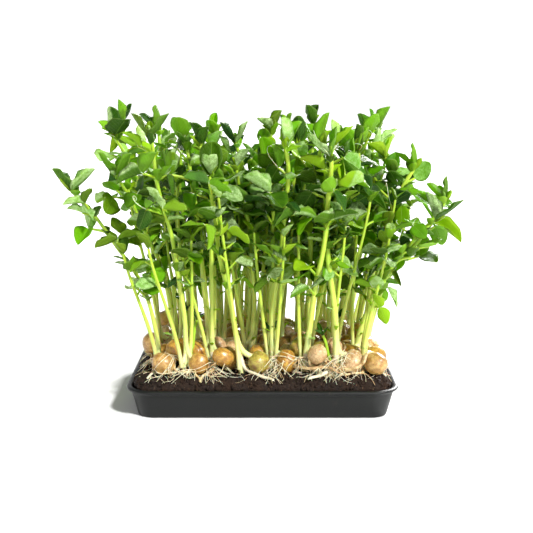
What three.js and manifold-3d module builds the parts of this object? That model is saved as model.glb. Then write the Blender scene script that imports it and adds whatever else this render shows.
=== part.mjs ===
// A shallow tray of pea shoots: soil in a plain plastic tray, and forty-five young plants in it. Each plant
// is one body: the stem, its leaves, the pea that it sprouted from and the roots that show on the soil.
// Millimetres, +Z up, origin at the centre of the tray's underside, front towards -Y.
import * as THREE from "three";
import { mergeVertices } from "three/addons/utils/BufferGeometryUtils.js";
import Module from "manifold-3d";

const wasm = await Module();
wasm.setup();

// ---- Driving dimensions ----------------------------------------------------------------------

const GAP = 0.3; // between neighbouring pieces that touch

const TRAY = {
  height: 12,
  wall: 1.2,
  floor: 1.4,
  rimWidth: 2.4,
  rimThickness: 1.1,
  mouth: [51.8, 43.2], // half width and half depth inside the rim
  taper: 3.2, // how much narrower the floor is than the mouth, on each side
  corner: 9,
};

const SOIL = {
  top: 16.5, // height of the level top
  edge: 12.6, // height where its sloping shoulder meets the tray's wall
  level: [49, 40], // half width and half depth of the level top
  corner: 6.5,
  hole: { depth: 3.7, width: 4.8, under: 0.75 }, // a plain hole for each stem, and the room under it
};

const ROWS = {
  counts: [8, 7, 8, 7, 8, 7], // plants in each row, front to back
  pitch: [12, 13], // between plants of a row, and between rows
  back: 1.2, // the stems stand this far back, because each pea lies in front of its stem
  stray: [3.4, 3],
};

const PEA = {
  radius: [4.1, 4.9],
  flat: 0.93, // height over width
  away: 6.5, // from the stem
  bearing: [-44, -136], // where it lies from the stem, in degrees, in odd rows and in even ones
  stray: [70, 180], // degrees to either side, at the first try and at the last
  around: 6,
  latitudes: [-54, -18, 18, 54],
};

const NECK = { height: [2.6, 4.2] }; // where the pea joins the stem, above the soil

const ROOT = {
  stage: 9, // of the draws
  radius: 0.9,
  tipRadius: 0.45,
  spread: [1.6, 3.2],
  past: 0.8, // from the pea's side to the first point of the route
  least: 3, // from that point to the edge of the level soil, or the point is left out
  outward: 2, // a pea has such roots where it lies this much nearer to the edge than its stem
  brink: 0.7, // over the edge of the level soil
  hang: [0.4, 1.5], // past the tray's mouth and above its rim
};

const STEM = {
  footRadius: [1, 1.45],
  tipShare: 0.62, // tip radius over foot radius
  half: 0.8, // half the side of the square section over the radius
  height: [72, 99],
  spread: [1.26, 1.2], // how much wider the tips stand than the feet, across and in depth
  wander: [12, 9, 4], // of the tip
  sway: [6.5, 9], // of the two handles of the curve, to any side
  handles: [0.4, 0.3], // from the foot up and from the tip down, over the rise
  held: 0.45, // how far the last handle stands back towards the foot
  heldLeaning: 0.62,
  bend: 0.3, // share of the height at which a plain ring keeps the curve
};

// Plants that lean far out of the bed, by row and place in it: from the foot to the tip.
const LEANING = {
  "0-0": [-31, -5, 75],
  "1-0": [-21, -8, 80],
  "3-0": [-19, 3, 86],
  "0-7": [26, -9, 64],
  "1-6": [32, -6, 70],
  "2-7": [20, 0, 82],
  "4-7": [15, 6, 84],
};

const LEAFLET = { thickness: 0.66, share: 0.74, fold: 0.24 }; // width over length, rise of the margins
const STALK = { width: 1.3, thickness: 1 };
const CROWN = { above: 0.9, steep: [32, 76], spread: 24, most: 108, roll: 8 }; // degrees but for above
const LEAF = { climb: [8, 50], open: [56, 84], tilt: [-35, 50], roll: [-10, 60] }; // degrees

// The leaves of a plant in the order in which they look for room: the young pair on its tip, then three
// on stalks. Place on the stem, length of the leaflets, length of the stalk, side of the stem.
const LEAVES = [
  { length: [9.6, 12.8] },
  { at: [0.77, 0.86], length: [10, 13.4], stalk: [6, 11], side: 0 },
  { at: [0.42, 0.56], length: [7.4, 10.4], stalk: [5, 9], side: 180 },
  { at: [0.61, 0.72], length: [8.4, 11.6], stalk: [5, 9], side: 90 },
];

// A leaflet's margin from base to tip: share of the length, and share of the width off the midrib.
const MARGIN = [
  [0.28, 0.49],
  [0.74, 0.41],
];

// Least distances from the middle of a stem to a leaf, between leaves, between leaves of one plant, between
// the middles of two stems, from a stem's tip to another stem, from a pea's side to the middle of a stem,
// and between peas. Then from one foot to the next, and from a foot and from a pea to the level top's edge.
const CLEAR = { stem: 2.9, leaf: 2.75, own: 2.9, stems: 3.3, tip: 6.5, pea: 2, ownPea: 1.25, peas: 0.4 };
const SPACING = { feet: 6, footEdge: 3, peaEdge: 3.5 };
const LEAST_OPENING = 106; // degrees between the two leaflets of a stalk, so that their margins don't meet
const TRIES = { stems: 300, leaves: 110 };
const CALMEST = 0.3; // share of a stem's stray that is left at the last try
const TURN = 67; // degrees from one try to the next
const SHRINK = 0.0045; // how much smaller a leaf is at each try

// ---- Seeded draws and points -----------------------------------------------------------------

const RANDOM_SEED = 20181;
let drawn = RANDOM_SEED;

function draw(low, high) {
  drawn = (drawn * 1664525 + 1013904223) % 4294967296;
  return low + ((high - low) * drawn) / 4294967296;
}

// Each plant has its own draws for each stage of its growth.
function startDraws(plant, stage) {
  drawn = RANDOM_SEED + plant * 7919 + stage * 104729;
  for (let i = 0; i < 4; i++) draw(0, 1);
}

const point = (x, y, z) => new THREE.Vector3(x, y, z);
const UP = point(0, 0, 1);
const radians = (degrees) => (degrees * Math.PI) / 180;
const offset = (p, ...moves) =>
  moves.reduce((q, [direction, by]) => q.addScaledVector(direction, by), p.clone());

// The sum of points, each with its own weight.
const weighted = (points, weights) =>
  points.reduce((sum, p, i) => sum.addScaledVector(p, weights[i]), point(0, 0, 0));

function bezier(path, t) {
  const s = 1 - t;
  return weighted(path, [s * s * s, 3 * s * s * t, 3 * s * t * t, t * t * t]);
}

function bezierSpeed(path, t) {
  const s = 1 - t;
  return weighted(path, [-3 * s * s, 3 * s * (s - 2 * t), 3 * t * (2 * s - t), 3 * t * t]);
}

// A unit direction from its azimuth round Z and its elevation above the level.
function heading(azimuth, elevation = 0) {
  const level = Math.cos(elevation);
  return point(level * Math.cos(azimuth), level * Math.sin(azimuth), Math.sin(elevation));
}

// ---- Skins -----------------------------------------------------------------------------------

// A closed skin is gathered patch by patch, each with its corners counterclockwise as seen from outside.
class Skin {
  corners = [];

  // A patch whose corners partly coincide keeps only the triangles that have an area.
  patch(first, ...rest) {
    for (let i = 0; i + 1 < rest.length; i++) {
      const [b, c] = [rest[i], rest[i + 1]];
      if (!first.equals(b) && !b.equals(c) && !c.equals(first)) this.corners.push(first, b, c);
    }
  }

  // The walls from one loop of points to the next one out.
  wall(loop, next, closed = true) {
    const edges = closed ? loop.length : loop.length - 1;
    for (let i = 0; i < edges; i++) {
      const j = (i + 1) % loop.length;
      this.patch(loop[i], loop[j], next[j], next[i]);
    }
  }

  fan(rim, middle) {
    rim.forEach((a, i) => this.patch(middle, a, rim[(i + 1) % rim.length]));
  }

  geometry() {
    return new THREE.BufferGeometry().setFromPoints(this.corners);
  }
}

// The signs of the four quarters, counterclockwise.
const QUARTERS = [
  [1, 1],
  [-1, 1],
  [-1, -1],
  [1, -1],
];

// A round-cornered rectangle at one height, as a loop of points.
function cornered(half, corner, z, perCorner = 4) {
  return QUARTERS.flatMap(([sx, sy], quarter) =>
    Array.from({ length: perCorner }, (_, i) => {
      const angle = (Math.PI / 2) * (quarter + i / (perCorner - 1));
      const x = sx * (half[0] - corner) + corner * Math.cos(angle);
      const y = sy * (half[1] - corner) + corner * Math.sin(angle);
      return point(x, y, z);
    }),
  );
}

function loftGeometry(loops) {
  const skin = new Skin();
  skin.patch(...loops[0].toReversed());
  for (let i = 0; i + 1 < loops.length; i++) skin.wall(loops[i], loops[i + 1]);
  skin.patch(...loops.at(-1));
  return skin.geometry();
}

function solidOf(geometry) {
  const bare = geometry.clone();
  bare.deleteAttribute("normal");
  bare.deleteAttribute("uv");
  const merged = mergeVertices(bare, 1e-4);
  const vertProperties = merged.attributes.position.array;
  const triVerts = new Uint32Array(merged.index.array);
  return new wasm.Manifold(new wasm.Mesh({ numProp: 3, vertProperties, triVerts }));
}

function geometryOf(solid) {
  const { vertProperties, triVerts } = solid.getMesh();
  const geometry = new THREE.BufferGeometry();
  geometry.setAttribute("position", new THREE.BufferAttribute(new Float32Array(vertProperties), 3));
  geometry.setIndex(new THREE.BufferAttribute(new Uint32Array(triVerts), 1));
  return geometry.toNonIndexed();
}

// ---- Tray and soil ---------------------------------------------------------------------------

function trayGeometry() {
  const { mouth, wall, taper, corner, height, rimWidth, rimThickness } = TRAY;
  const loop = (by, z) => cornered([mouth[0] + by, mouth[1] + by], corner + by, z);
  return loftGeometry([
    loop(wall - taper, 0),
    loop(wall, height - rimThickness),
    loop(rimWidth, height - rimThickness),
    loop(rimWidth, height),
    loop(0, height),
    loop(-taper, TRAY.floor),
  ]);
}

function soilGeometry(plants) {
  const { mouth, taper, corner } = TRAY;
  const loop = (by, z) => cornered([mouth[0] + by, mouth[1] + by], corner + by, z);
  const bed = loftGeometry([
    loop(-taper - GAP, TRAY.floor + GAP),
    loop(-GAP, SOIL.edge),
    cornered(SOIL.level, SOIL.corner, SOIL.top),
  ]);
  const { width, depth } = SOIL.hole;
  const holes = plants.map(({ path }) => {
    const { x, y } = bezier(path, (0.5 * depth) / bezierSpeed(path, 0).length());
    return new THREE.BoxGeometry(width, width, 2 * depth).translate(x, y, SOIL.top);
  });
  return geometryOf(holes.reduce((left, hole) => left.subtract(solidOf(hole)), solidOf(bed)));
}

// ---- How a plant stands ----------------------------------------------------------------------

const STEM_POINTS = 12; // stretches that stand for a stem when something is kept clear of it

// A stem is a curve from foot to tip with two handles. With later tries it strays less, and its pea may
// lie further round it.
function stemAt(row, place, share) {
  const calm = 1 - (1 - CALMEST) * share;
  const stray = (most) => calm * draw(-most, most);
  const bearing = radians(PEA.bearing[row % 2]);
  const aside = (PEA.away * Math.cos(bearing)) / 2;
  const foot = point(
    (place - (ROWS.counts[row] - 1) / 2) * ROWS.pitch[0] - aside + stray(ROWS.stray[0]),
    (row - (ROWS.counts.length - 1) / 2) * ROWS.pitch[1] + ROWS.back + stray(ROWS.stray[1]),
    SOIL.top - SOIL.hole.depth + SOIL.hole.under,
  );
  const height = draw(...STEM.height);
  const wander = point(...STEM.wander.map(stray));
  const lean = LEANING[`${row}-${place}`];
  const upright = point(foot.x * STEM.spread[0], foot.y * STEM.spread[1], foot.z + height).add(wander);
  const tip = lean ? foot.clone().add(point(...lean)) : upright;
  const rise = tip.z - foot.z;
  const [low, high] = STEM.sway;
  const first = foot.clone().add(point(stray(low), stray(low), STEM.handles[0] * rise));
  const last = tip.clone().lerp(foot, lean ? STEM.heldLeaning : STEM.held);
  last.add(point(stray(high), stray(high), 0)).setZ(tip.z - STEM.handles[1] * rise);
  const path = [foot, first, last, tip];
  const points = Array.from({ length: STEM_POINTS + 1 }, (_, i) => bezier(path, i / STEM_POINTS));
  const round = radians(PEA.stray[0] + (PEA.stray[1] - PEA.stray[0]) * share);
  return { row, place, lean, path, points, toPea: heading(bearing + draw(-round, round)) };
}

// The pea lies beside its stem, a little above the soil.
function peaCentre({ toPea, path: [foot] }, radius) {
  return offset(foot, [toPea, PEA.away]).setZ(SOIL.top + GAP + PEA.flat * radius);
}

const insideLevel = ({ x, y }, edge) =>
  Math.abs(x) < SOIL.level[0] - edge && Math.abs(y) < SOIL.level[1] - edge;

// A stem and its pea are tried until both stand clear of those that stand already.
function standPlants() {
  const plants = [];
  ROWS.counts.forEach((count, row) => {
    for (let place = 0; place < count; place++) {
      const index = plants.length;
      startDraws(index, 0);
      const pea = { radius: draw(...PEA.radius) };
      const radius = draw(...STEM.footRadius);
      const turn = draw(0, 2 * Math.PI);
      for (let i = 0; i < TRIES.stems; i++) {
        const stem = stemAt(row, place, i / TRIES.stems);
        const azimuth = stem.lean ? Math.atan2(stem.lean[1], stem.lean[0]) : turn;
        pea.centre = peaCentre(stem, pea.radius);
        plants[index] = { ...stem, index, pea, radius, turn: azimuth, leaves: [] };
        if (standsClear(plants[index], plants.slice(0, index))) break;
      }
    }
  });
  return plants;
}

// ---- Keeping clear -----------------------------------------------------------------------------

function segmentDistance(p, a, b) {
  const ab = b.clone().sub(a);
  const share = p.clone().sub(a).dot(ab) / ab.lengthSq();
  return offset(a, [ab, Math.min(1, Math.max(0, share))]).distanceTo(p);
}

function nearStem(samples, { points }, distance) {
  return samples.some((p) =>
    points.some((a, i) => i < STEM_POINTS && segmentDistance(p, a, points[i + 1]) < distance),
  );
}

function standsClear(plant, others) {
  const { pea, points } = plant;
  if (nearStem([pea.centre], plant, pea.radius + CLEAR.ownPea)) return false;
  if (!insideLevel(points[0], SPACING.footEdge) || !insideLevel(pea.centre, SPACING.peaEdge)) return false;
  return others.every(
    (other) =>
      points[0].distanceTo(other.points[0]) > SPACING.feet &&
      !nearStem(points, other, CLEAR.stems) &&
      !nearStem(points.slice(-1), other, CLEAR.tip) &&
      !nearStem(other.points.slice(-1), plant, CLEAR.tip) &&
      !nearStem([pea.centre], other, pea.radius + CLEAR.pea) &&
      !nearStem([other.pea.centre], plant, other.pea.radius + CLEAR.pea) &&
      pea.centre.distanceTo(other.pea.centre) > pea.radius + other.pea.radius + CLEAR.peas,
  );
}

function nearLeaf(samples, leaf, distance) {
  return samples.some(
    (p) =>
      leaf.centre.distanceTo(p) < leaf.reach + distance &&
      leaf.samples.some((q) => q.distanceTo(p) < distance),
  );
}

function isClear(leaf, plant, plants) {
  const [one, two] = leaf.leaflets.map(({ along }) => along);
  if (leaf.stalk && one.dot(two) > Math.cos(radians(LEAST_OPENING))) return false;
  return plants.every((other) => {
    if (other !== plant)
      return (
        !nearStem(leaf.samples, other, CLEAR.stem) &&
        !other.leaves.some((grown) => nearLeaf(leaf.samples, grown, CLEAR.leaf))
      );
    const ofBlades = leaf.leaflets.flatMap(leafletSamples);
    return (
      !(leaf.stalk && nearStem(ofBlades, plant, CLEAR.own)) &&
      !plant.leaves.some((grown) => nearLeaf(leaf.samples, grown, CLEAR.own))
    );
  });
}

// ---- Leaves ------------------------------------------------------------------------------------

// A leaflet points along an azimuth and elevation from its base, and its face is rolled about that line.
function leafletAt(base, azimuth, elevation, roll, length) {
  const along = heading(azimuth, elevation);
  const left = heading(azimuth + Math.PI / 2);
  const upper = along.clone().cross(left);
  const face = weighted([upper, left], [Math.cos(roll), Math.sin(roll)]);
  return { base, along, face, length, width: length * LEAFLET.share };
}

// Points on a leaflet: its midrib, and lines near both margins.
function leafletSamples({ base, along, face, length, width }) {
  const left = face.clone().cross(along);
  const stations = [0.1, 0.3, 0.5, 0.7, 0.9];
  const [sampled, ovate] = [0.45, 0.8]; // share of the width, and how far its widest place lies to the base
  return stations.flatMap((u) => {
    const half = sampled * width * Math.sin(Math.PI * Math.pow(u, ovate));
    return [-1, 0, 1].map((v) => offset(base, [along, u * length], [left, v * half]));
  });
}

function withSamples(leaf) {
  const samples = leaf.leaflets.flatMap(leafletSamples);
  if (leaf.stalk)
    for (const t of [0.35, 0.7, 1]) samples.push(leaf.stalk[0].clone().lerp(leaf.stalk[1], t));
  const shares = samples.map(() => 1 / samples.length);
  const centre = weighted(samples, shares);
  const reach = Math.max(...samples.map((p) => p.distanceTo(centre)));
  return { ...leaf, samples, centre, reach };
}

const degrees = (range) => radians(draw(...range));

// A compound leaf: a stalk from the stem with a pair of leaflets at its end.
function stalkedLeaf(plant, at, length, stalkLength, azimuth) {
  const from = bezier(plant.path, at);
  const end = offset(from, [heading(azimuth, degrees(LEAF.climb)), stalkLength]);
  const open = degrees(LEAF.open);
  const leaflets = [-1, 1].map((side) => {
    const elevation = degrees(LEAF.tilt);
    const roll = side * degrees(LEAF.roll);
    return leafletAt(end, azimuth + side * open, elevation, roll, length * draw(0.92, 1.06));
  });
  return withSamples({ at, azimuth, leaflets, stalk: [from, end] });
}

// The pair of young leaflets on the tip: the steeper one stands, the more the other one spreads.
function crownLeaf(plant, length, azimuth) {
  const base = offset(plant.path[3], [bezierSpeed(plant.path, 1).normalize(), CROWN.above]);
  const steep = draw(...CROWN.steep);
  const spread = draw(CROWN.spread, CROWN.most - steep);
  const leaflets = [steep, spread].map((elevation, i) => {
    const roll = degrees([-CROWN.roll, CROWN.roll]);
    return leafletAt(base, azimuth + i * Math.PI, radians(elevation), roll, length * draw(0.9, 1.1));
  });
  return withSamples({ azimuth, leaflets });
}

// Up to four leaves a plant, each tried round the stem until it stands clear of all that has grown.
function growLeaves(plants) {
  LEAVES.forEach(({ at, length, stalk, side }, stage) => {
    for (const plant of plants) {
      startDraws(plant.index, stage + 1);
      const place = at && draw(...at);
      const full = draw(...length);
      const reach = stalk && draw(...stalk);
      const attempt = (i) => {
        const share = 1 - SHRINK * i;
        const azimuth = plant.turn + radians((side ?? 0) + i * TURN);
        if (!stalk) return crownLeaf(plant, full * share, azimuth);
        return stalkedLeaf(plant, place, full * share, reach * share, azimuth);
      };
      for (let i = 0; i < TRIES.leaves; i++) {
        const leaf = attempt(i);
        if (isClear(leaf, plant, plants)) {
          plant.leaves.push(leaf);
          break;
        }
      }
    }
  });
}

// ---- A plant's skin --------------------------------------------------------------------------

// Four corners round the stem, as a loop that runs counterclockwise seen from the tip. The stem is twisted
// a little, so that one side of its foot faces the pea and two sides of its tip face the crown's leaflets.
function stemLoop(plant, t) {
  const tangent = bezierSpeed(plant.path, t).normalize();
  const quarter = Math.PI / 2;
  const crown = plant.leaves[0].azimuth;
  const pea = Math.atan2(plant.toPea.y, plant.toPea.x);
  const twist = crown - pea - quarter * Math.round((crown - pea) / quarter);
  const aside = tangent.clone().cross(heading(crown - twist * (1 - t))).normalize();
  const out = aside.clone().cross(tangent);
  const half = STEM.half * plant.radius * (1 - (1 - STEM.tipShare) * t);
  const centre = bezier(plant.path, t);
  return QUARTERS.map(([i, j]) => offset(centre, [out, i * half], [aside, j * half]));
}

const middleOf = (...points) => weighted(points, points.map(() => 1 / points.length));

// The side of the stem between two of its loops that faces a direction: its four corners from the lower
// right one on, seen from outside, and the number of the side.
function sideFacing(lower, upper, direction) {
  const centre = middleOf(...lower);
  const facing = lower.map((corner, j) => {
    const out = middleOf(corner, lower[(j + 1) % lower.length]).sub(centre);
    return out.normalize().dot(direction);
  });
  const side = facing.indexOf(Math.max(...facing));
  const next = (side + 1) % lower.length;
  return { side, corners: [lower[side], lower[next], upper[next], upper[side]] };
}

// A leaflet's rim from its right margin's foot over the tip to its left margin's foot, then its middle.
function leafletPoints({ base, along, face, length, width }, layer) {
  const left = face.clone().cross(along);
  const at = (u, v) => {
    const rise = LEAFLET.fold * Math.abs(v) * width + layer;
    return offset(base, [along, u * length], [left, v * width], [face, rise]);
  };
  const right = MARGIN.map(([u, v]) => at(u, -v));
  const back = MARGIN.map(([u, v]) => at(u, v)).reverse();
  return [...right, at(1, 0), ...back, at(0.5, 0)];
}

// A stalk with its two leaflets grows out of one side of the stem.
function addStalkedLeaf(skin, { leaflets, stalk: [from, end] }, [lowRight, lowLeft, topLeft, topRight]) {
  const up = leaflets[0].face.clone().add(leaflets[1].face).normalize();
  const ahead = end.clone().sub(from).normalize();
  const right = ahead.clone().cross(up).normalize();
  const half = STALK.width / 2;
  const layerOf = (sign, foot) => {
    const rise = (sign * STALK.thickness) / 2;
    const fork = [
      [half, -half],
      [0, half],
      [-half, -half],
    ].map(([x, y]) => offset(end, [right, x], [ahead, y], [up, rise]));
    const [one, two] = leaflets.map((leaflet) => leafletPoints(leaflet, (sign * LEAFLET.thickness) / 2));
    return { foot, fork, one: one.slice(0, -1), two: two.slice(0, -1), middles: [one.at(-1), two.at(-1)] };
  };
  const top = layerOf(1, [topRight, topLeft]);
  const bottom = layerOf(-1, [lowRight, lowLeft]);
  const outline = ({ foot, fork, one, two }) => [foot[0], fork[0], ...one, fork[1], ...two, fork[2], foot[1]];
  const face = ({ foot, fork, one, two, middles }, turned) => {
    const order = (loop) => (turned ? loop.toReversed() : loop);
    skin.patch(...order([foot[0], fork[0], fork[2], foot[1]]));
    skin.patch(...order(fork));
    skin.fan(order([fork[0], ...one, fork[1]]), middles[0]);
    skin.fan(order([fork[1], ...two, fork[2]]), middles[1]);
  };
  face(top, false);
  face(bottom, true);
  skin.wall(outline(bottom), outline(top), false);
}

// The two young leaflets close the stem's open top.
function addCrown(skin, { leaflets }, [rightAhead, rightBack, leftBack, leftAhead]) {
  const up = leaflets[0].face.clone().add(leaflets[1].face).normalize();
  const across = leaflets[0].face.clone().cross(leaflets[0].along);
  const [start, finish] = [-0.5, 0.5].map((by) =>
    offset(leaflets[0].base, [across, by * STALK.width], [up, STALK.thickness / 2]),
  );
  const layerOf = (sign) => leaflets.map((leaflet) => leafletPoints(leaflet, (sign * LEAFLET.thickness) / 2));
  const [top, bottom] = [layerOf(1), layerOf(-1)];
  const rims = (pair, corners) =>
    pair.map((points, i) => [corners[2 * i], ...points.slice(0, -1), corners[2 * i + 1]]);
  const upper = rims(top, [start, finish, finish, start]);
  const lower = rims(bottom, [leftAhead, rightAhead, rightBack, leftBack]);
  for (const i of [0, 1]) {
    skin.fan(upper[i], top[i].at(-1));
    skin.fan(lower[i].toReversed(), bottom[i].at(-1));
  }
  skin.wall(lower.flat(), upper.flat());
}

// The pea's rings of points from below to above. One of its sides faces the stem.
function peaLoops({ path: [foot], pea: { centre, radius } }) {
  const facing = Math.atan2(foot.y - centre.y, foot.x - centre.x);
  return PEA.latitudes.map((latitude) => {
    const level = radius * Math.cos(radians(latitude));
    const rise = PEA.flat * radius * Math.sin(radians(latitude));
    return Array.from({ length: PEA.around }, (_, k) => {
      const out = heading(facing + (Math.PI * (2 * k - 1)) / PEA.around);
      return offset(centre, [out, level], [UP, rise]);
    });
  });
}

// The root's four corners round a point of its route.
function rootLoop(centre, direction, radius) {
  const right = UP.clone().cross(direction).normalize();
  const up = direction.clone().cross(right);
  return QUARTERS.map(([i, j]) => offset(centre, [right, -i * radius], [up, -j * radius]));
}

// The roots that show run from a pea at the bed's edge over the soil's shoulder towards the tray's rim.
function rootRoutes({ index, row, place, pea, path: [foot] }) {
  startDraws(index, ROOT.stage);
  const aside = draw(...ROOT.spread);
  const drift = row ? -aside : aside;
  const ends = [];
  if (row === 0) ends.push([0, -1, -aside], [0, -1, draw(...ROOT.spread)]);
  if (place === 0) ends.push([-1, 0, drift]);
  if (place === ROWS.counts[row] - 1) ends.push([1, 0, drift]);
  const low = SOIL.top + GAP + ROOT.radius;
  const tip = TRAY.height + ROOT.tipRadius + ROOT.hang[1];
  const beyondStem = pea.centre.clone().sub(foot);
  const outward = ends.filter(([x, y]) => x * beyondStem.x + y * beyondStem.y > ROOT.outward);
  return outward.map(([x, y, sideways]) => {
    const axis = x ? 0 : 1;
    const away = point(x, y, 0);
    const drifting = x ? point(0, 1, 0) : point(1, 0, 0);
    const start = pea.centre.dot(away);
    const at = (distance, share, z) =>
      offset(pea.centre, [away, distance - start], [drifting, share * sideways], [UP, z - pea.centre.z]);
    const brink = SOIL.level[axis];
    const over = start + pea.radius + ROOT.past;
    const points = [
      at(Math.max(brink + ROOT.brink, over), 0.7, low + GAP),
      at(TRAY.mouth[axis] + ROOT.hang[0], 1, tip),
    ];
    if (over < brink - ROOT.least) points.unshift(at(over, 0.35, low));
    return points;
  });
}

// The pea takes the stem's opened side as its neck, and a root grows out of a side near its underside.
function addPea(skin, plant, neck) {
  const { centre, radius } = plant.pea;
  const loops = peaLoops(plant);
  const openings = new Set(["1-0"]);
  const neckLoop = [loops[1][0], loops[1][1], loops[2][1], loops[2][0]];
  skin.wall(neckLoop, [neck[1], neck[0], neck[3], neck[2]]);
  for (const route of rootRoutes(plant)) {
    const out = route[0].clone().sub(centre).setZ(0).normalize();
    const facing = loops[0].map((p, k) => {
      const side = middleOf(p, loops[0][(k + 1) % PEA.around]).sub(centre).setZ(0);
      return side.normalize().dot(out);
    });
    const ranked = facing.map((_, k) => k).sort((a, b) => facing[b] - facing[a]);
    const k = ranked.find((side) => !openings.has(`0-${side}`));
    openings.add(`0-${k}`);
    const next = (k + 1) % PEA.around;
    let loop = [loops[0][k], loops[0][next], loops[1][next], loops[1][k]];
    route.forEach((p, i) => {
      const before = i ? route[i - 1] : centre;
      const after = route[i + 1] ?? p;
      const share = i / (route.length - 1);
      const thickness = ROOT.radius + (ROOT.tipRadius - ROOT.radius) * share;
      const ring = rootLoop(p, after.clone().sub(before).normalize(), thickness);
      skin.wall(loop, ring);
      loop = ring;
    });
    skin.patch(...loop);
  }
  for (let i = 0; i + 1 < loops.length; i++)
    for (let k = 0; k < PEA.around; k++) {
      const next = (k + 1) % PEA.around;
      if (!openings.has(`${i}-${k}`))
        skin.patch(loops[i][k], loops[i][next], loops[i + 1][next], loops[i + 1][k]);
    }
  skin.fan(loops[0].toReversed(), offset(centre, [UP, -PEA.flat * radius]));
  skin.fan(loops.at(-1), offset(centre, [UP, PEA.flat * radius]));
}

function plantGeometry(plant) {
  const skin = new Skin();
  const foot = plant.path[0];
  const startSpeed = bezierSpeed(plant.path, 0).length();
  const neckAt = NECK.height.map((above) => (SOIL.top + above - foot.z) / startSpeed);
  const branches = [{ span: neckAt, towards: plant.toPea, grow: (corners) => addPea(skin, plant, corners) }];
  for (const leaf of plant.leaves.filter(({ stalk }) => stalk)) {
    const half = (0.5 * STALK.thickness) / bezierSpeed(plant.path, leaf.at).length();
    const towards = heading(leaf.azimuth);
    branches.push({
      span: [leaf.at - half, leaf.at + half],
      towards,
      grow: (corners) => addStalkedLeaf(skin, leaf, corners),
    });
  }
  const stations = [0, STEM.bend, 1, ...branches.flatMap(({ span }) => span)].sort((a, b) => a - b);
  const loops = stations.map((t) => stemLoop(plant, t));
  skin.patch(...loops[0].toReversed());
  for (let i = 0; i + 1 < loops.length; i++) {
    const branch = branches.find(({ span }) => span[0] === stations[i]);
    const open = branch && sideFacing(loops[i], loops[i + 1], branch.towards);
    if (branch) branch.grow(open.corners);
    for (let j = 0; j < 4; j++) {
      const next = (j + 1) % 4;
      if (j !== open?.side) skin.patch(loops[i][j], loops[i][next], loops[i + 1][next], loops[i + 1][j]);
    }
  }
  addCrown(skin, plant.leaves[0], loops.at(-1));
  return skin.geometry();
}

// ---- The object ------------------------------------------------------------------------------

const FINISH = {
  tray: { color: 0x1d1f1e, roughness: 0.45, metalness: 0 },
  soil: { color: 0x2e2119, roughness: 1, metalness: 0 },
  plant: { color: 0x6fa035, roughness: 0.45, metalness: 0 },
};

function meshOf(name, geometry, finish) {
  geometry.computeVertexNormals();
  const mesh = new THREE.Mesh(geometry, new THREE.MeshStandardMaterial(FINISH[finish]));
  mesh.name = name;
  return mesh;
}

const plants = standPlants();
growLeaves(plants);

const group = new THREE.Group();
group.add(meshOf("tray", trayGeometry(), "tray"));
group.add(meshOf("soil", soilGeometry(plants), "soil"));
for (const plant of plants) {
  const number = String(plant.index + 1).padStart(2, "0");
  group.add(meshOf(`plant_${number}`, plantGeometry(plant), "plant"));
}

export default group;
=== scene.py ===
# %% [markdown]
# # A tray of pea shoots
# This lesson dresses a small bed of pea shoots: peas that have sprouted on dark soil, with pale stems,
# green leaflets, tendrils and cream roots, in a plain shallow tray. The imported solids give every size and
# place. The shoots grow by the same rule as the solids, so each leaf is drawn where its solid stands.

import math

import bpy
import numpy as np
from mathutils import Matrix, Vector, noise


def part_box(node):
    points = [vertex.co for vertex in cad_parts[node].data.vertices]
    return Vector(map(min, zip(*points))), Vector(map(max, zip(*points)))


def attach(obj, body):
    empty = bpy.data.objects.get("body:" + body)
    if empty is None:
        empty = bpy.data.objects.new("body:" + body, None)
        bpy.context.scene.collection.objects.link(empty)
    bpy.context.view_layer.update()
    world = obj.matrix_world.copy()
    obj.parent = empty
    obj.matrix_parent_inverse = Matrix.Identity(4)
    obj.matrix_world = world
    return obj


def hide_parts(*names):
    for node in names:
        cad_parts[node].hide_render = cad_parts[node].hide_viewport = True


MM = 0.001

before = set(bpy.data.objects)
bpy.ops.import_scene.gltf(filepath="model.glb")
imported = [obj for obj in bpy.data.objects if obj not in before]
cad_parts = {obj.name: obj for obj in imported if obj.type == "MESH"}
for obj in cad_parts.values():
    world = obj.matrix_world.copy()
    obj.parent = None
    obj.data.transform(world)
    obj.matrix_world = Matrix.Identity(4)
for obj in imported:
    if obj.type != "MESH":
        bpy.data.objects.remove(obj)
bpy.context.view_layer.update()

# %% [markdown]
# ## Sizes
# A real bed has soaked peas of about 9 mm, some 10 mm apart, and shoots cut at about 100 mm. These are the
# sizes that the solids were grown from, in millimetres, kept by name so that both stay the same.

# %% Sizes of the bed
SOIL_TOP = 16.5
SOIL_EDGE = 12.6
SOIL_LEVEL = (49.0, 40.0)
SOIL_CORNER = 6.5
FOOT_DEPTH = 2.95
TRAY_MOUTH = (51.8, 43.2)
TRAY_CORNER = 9.0
TRAY_HEIGHT = 12.0
TRAY_FLOOR = 1.4
TRAY_WALL = 1.2
TRAY_TAPER = 3.2
TRAY_RIM = 2.4
GAP = 0.3

ROW_COUNTS = (8, 7, 8, 7, 8, 7)
ROW_PITCH = (12.0, 13.0)
ROWS_BACK = 1.2
STRAY = (3.4, 3)
PEA_RADIUS = (4.1, 4.9)
PEA_FLAT = 0.93
PEA_AWAY = 6.5
PEA_BEARING = (-44, -136)
PEA_STRAY = (70, 180)
STEM_RADIUS = (1, 1.45)
STEM_TIP_SHARE = 0.62
STEM_HEIGHT = (72, 99)
STEM_SPREAD = (1.26, 1.2)
STEM_WANDER = (12, 9, 4)
STEM_SWAY = (6.5, 9)
STEM_HANDLES = (0.4, 0.3)
STEM_HELD = (0.45, 0.62)
LEAFLET_SHARE = 0.74
CROWN_ABOVE = 0.9
LEAST_OPENING = 106
STEM_TRIES = 300
LEAF_TRIES = 110
CALMEST = 0.3
TURN = math.radians(67)
SHRINK = 0.0045
STEM_POINTS = 12

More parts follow.
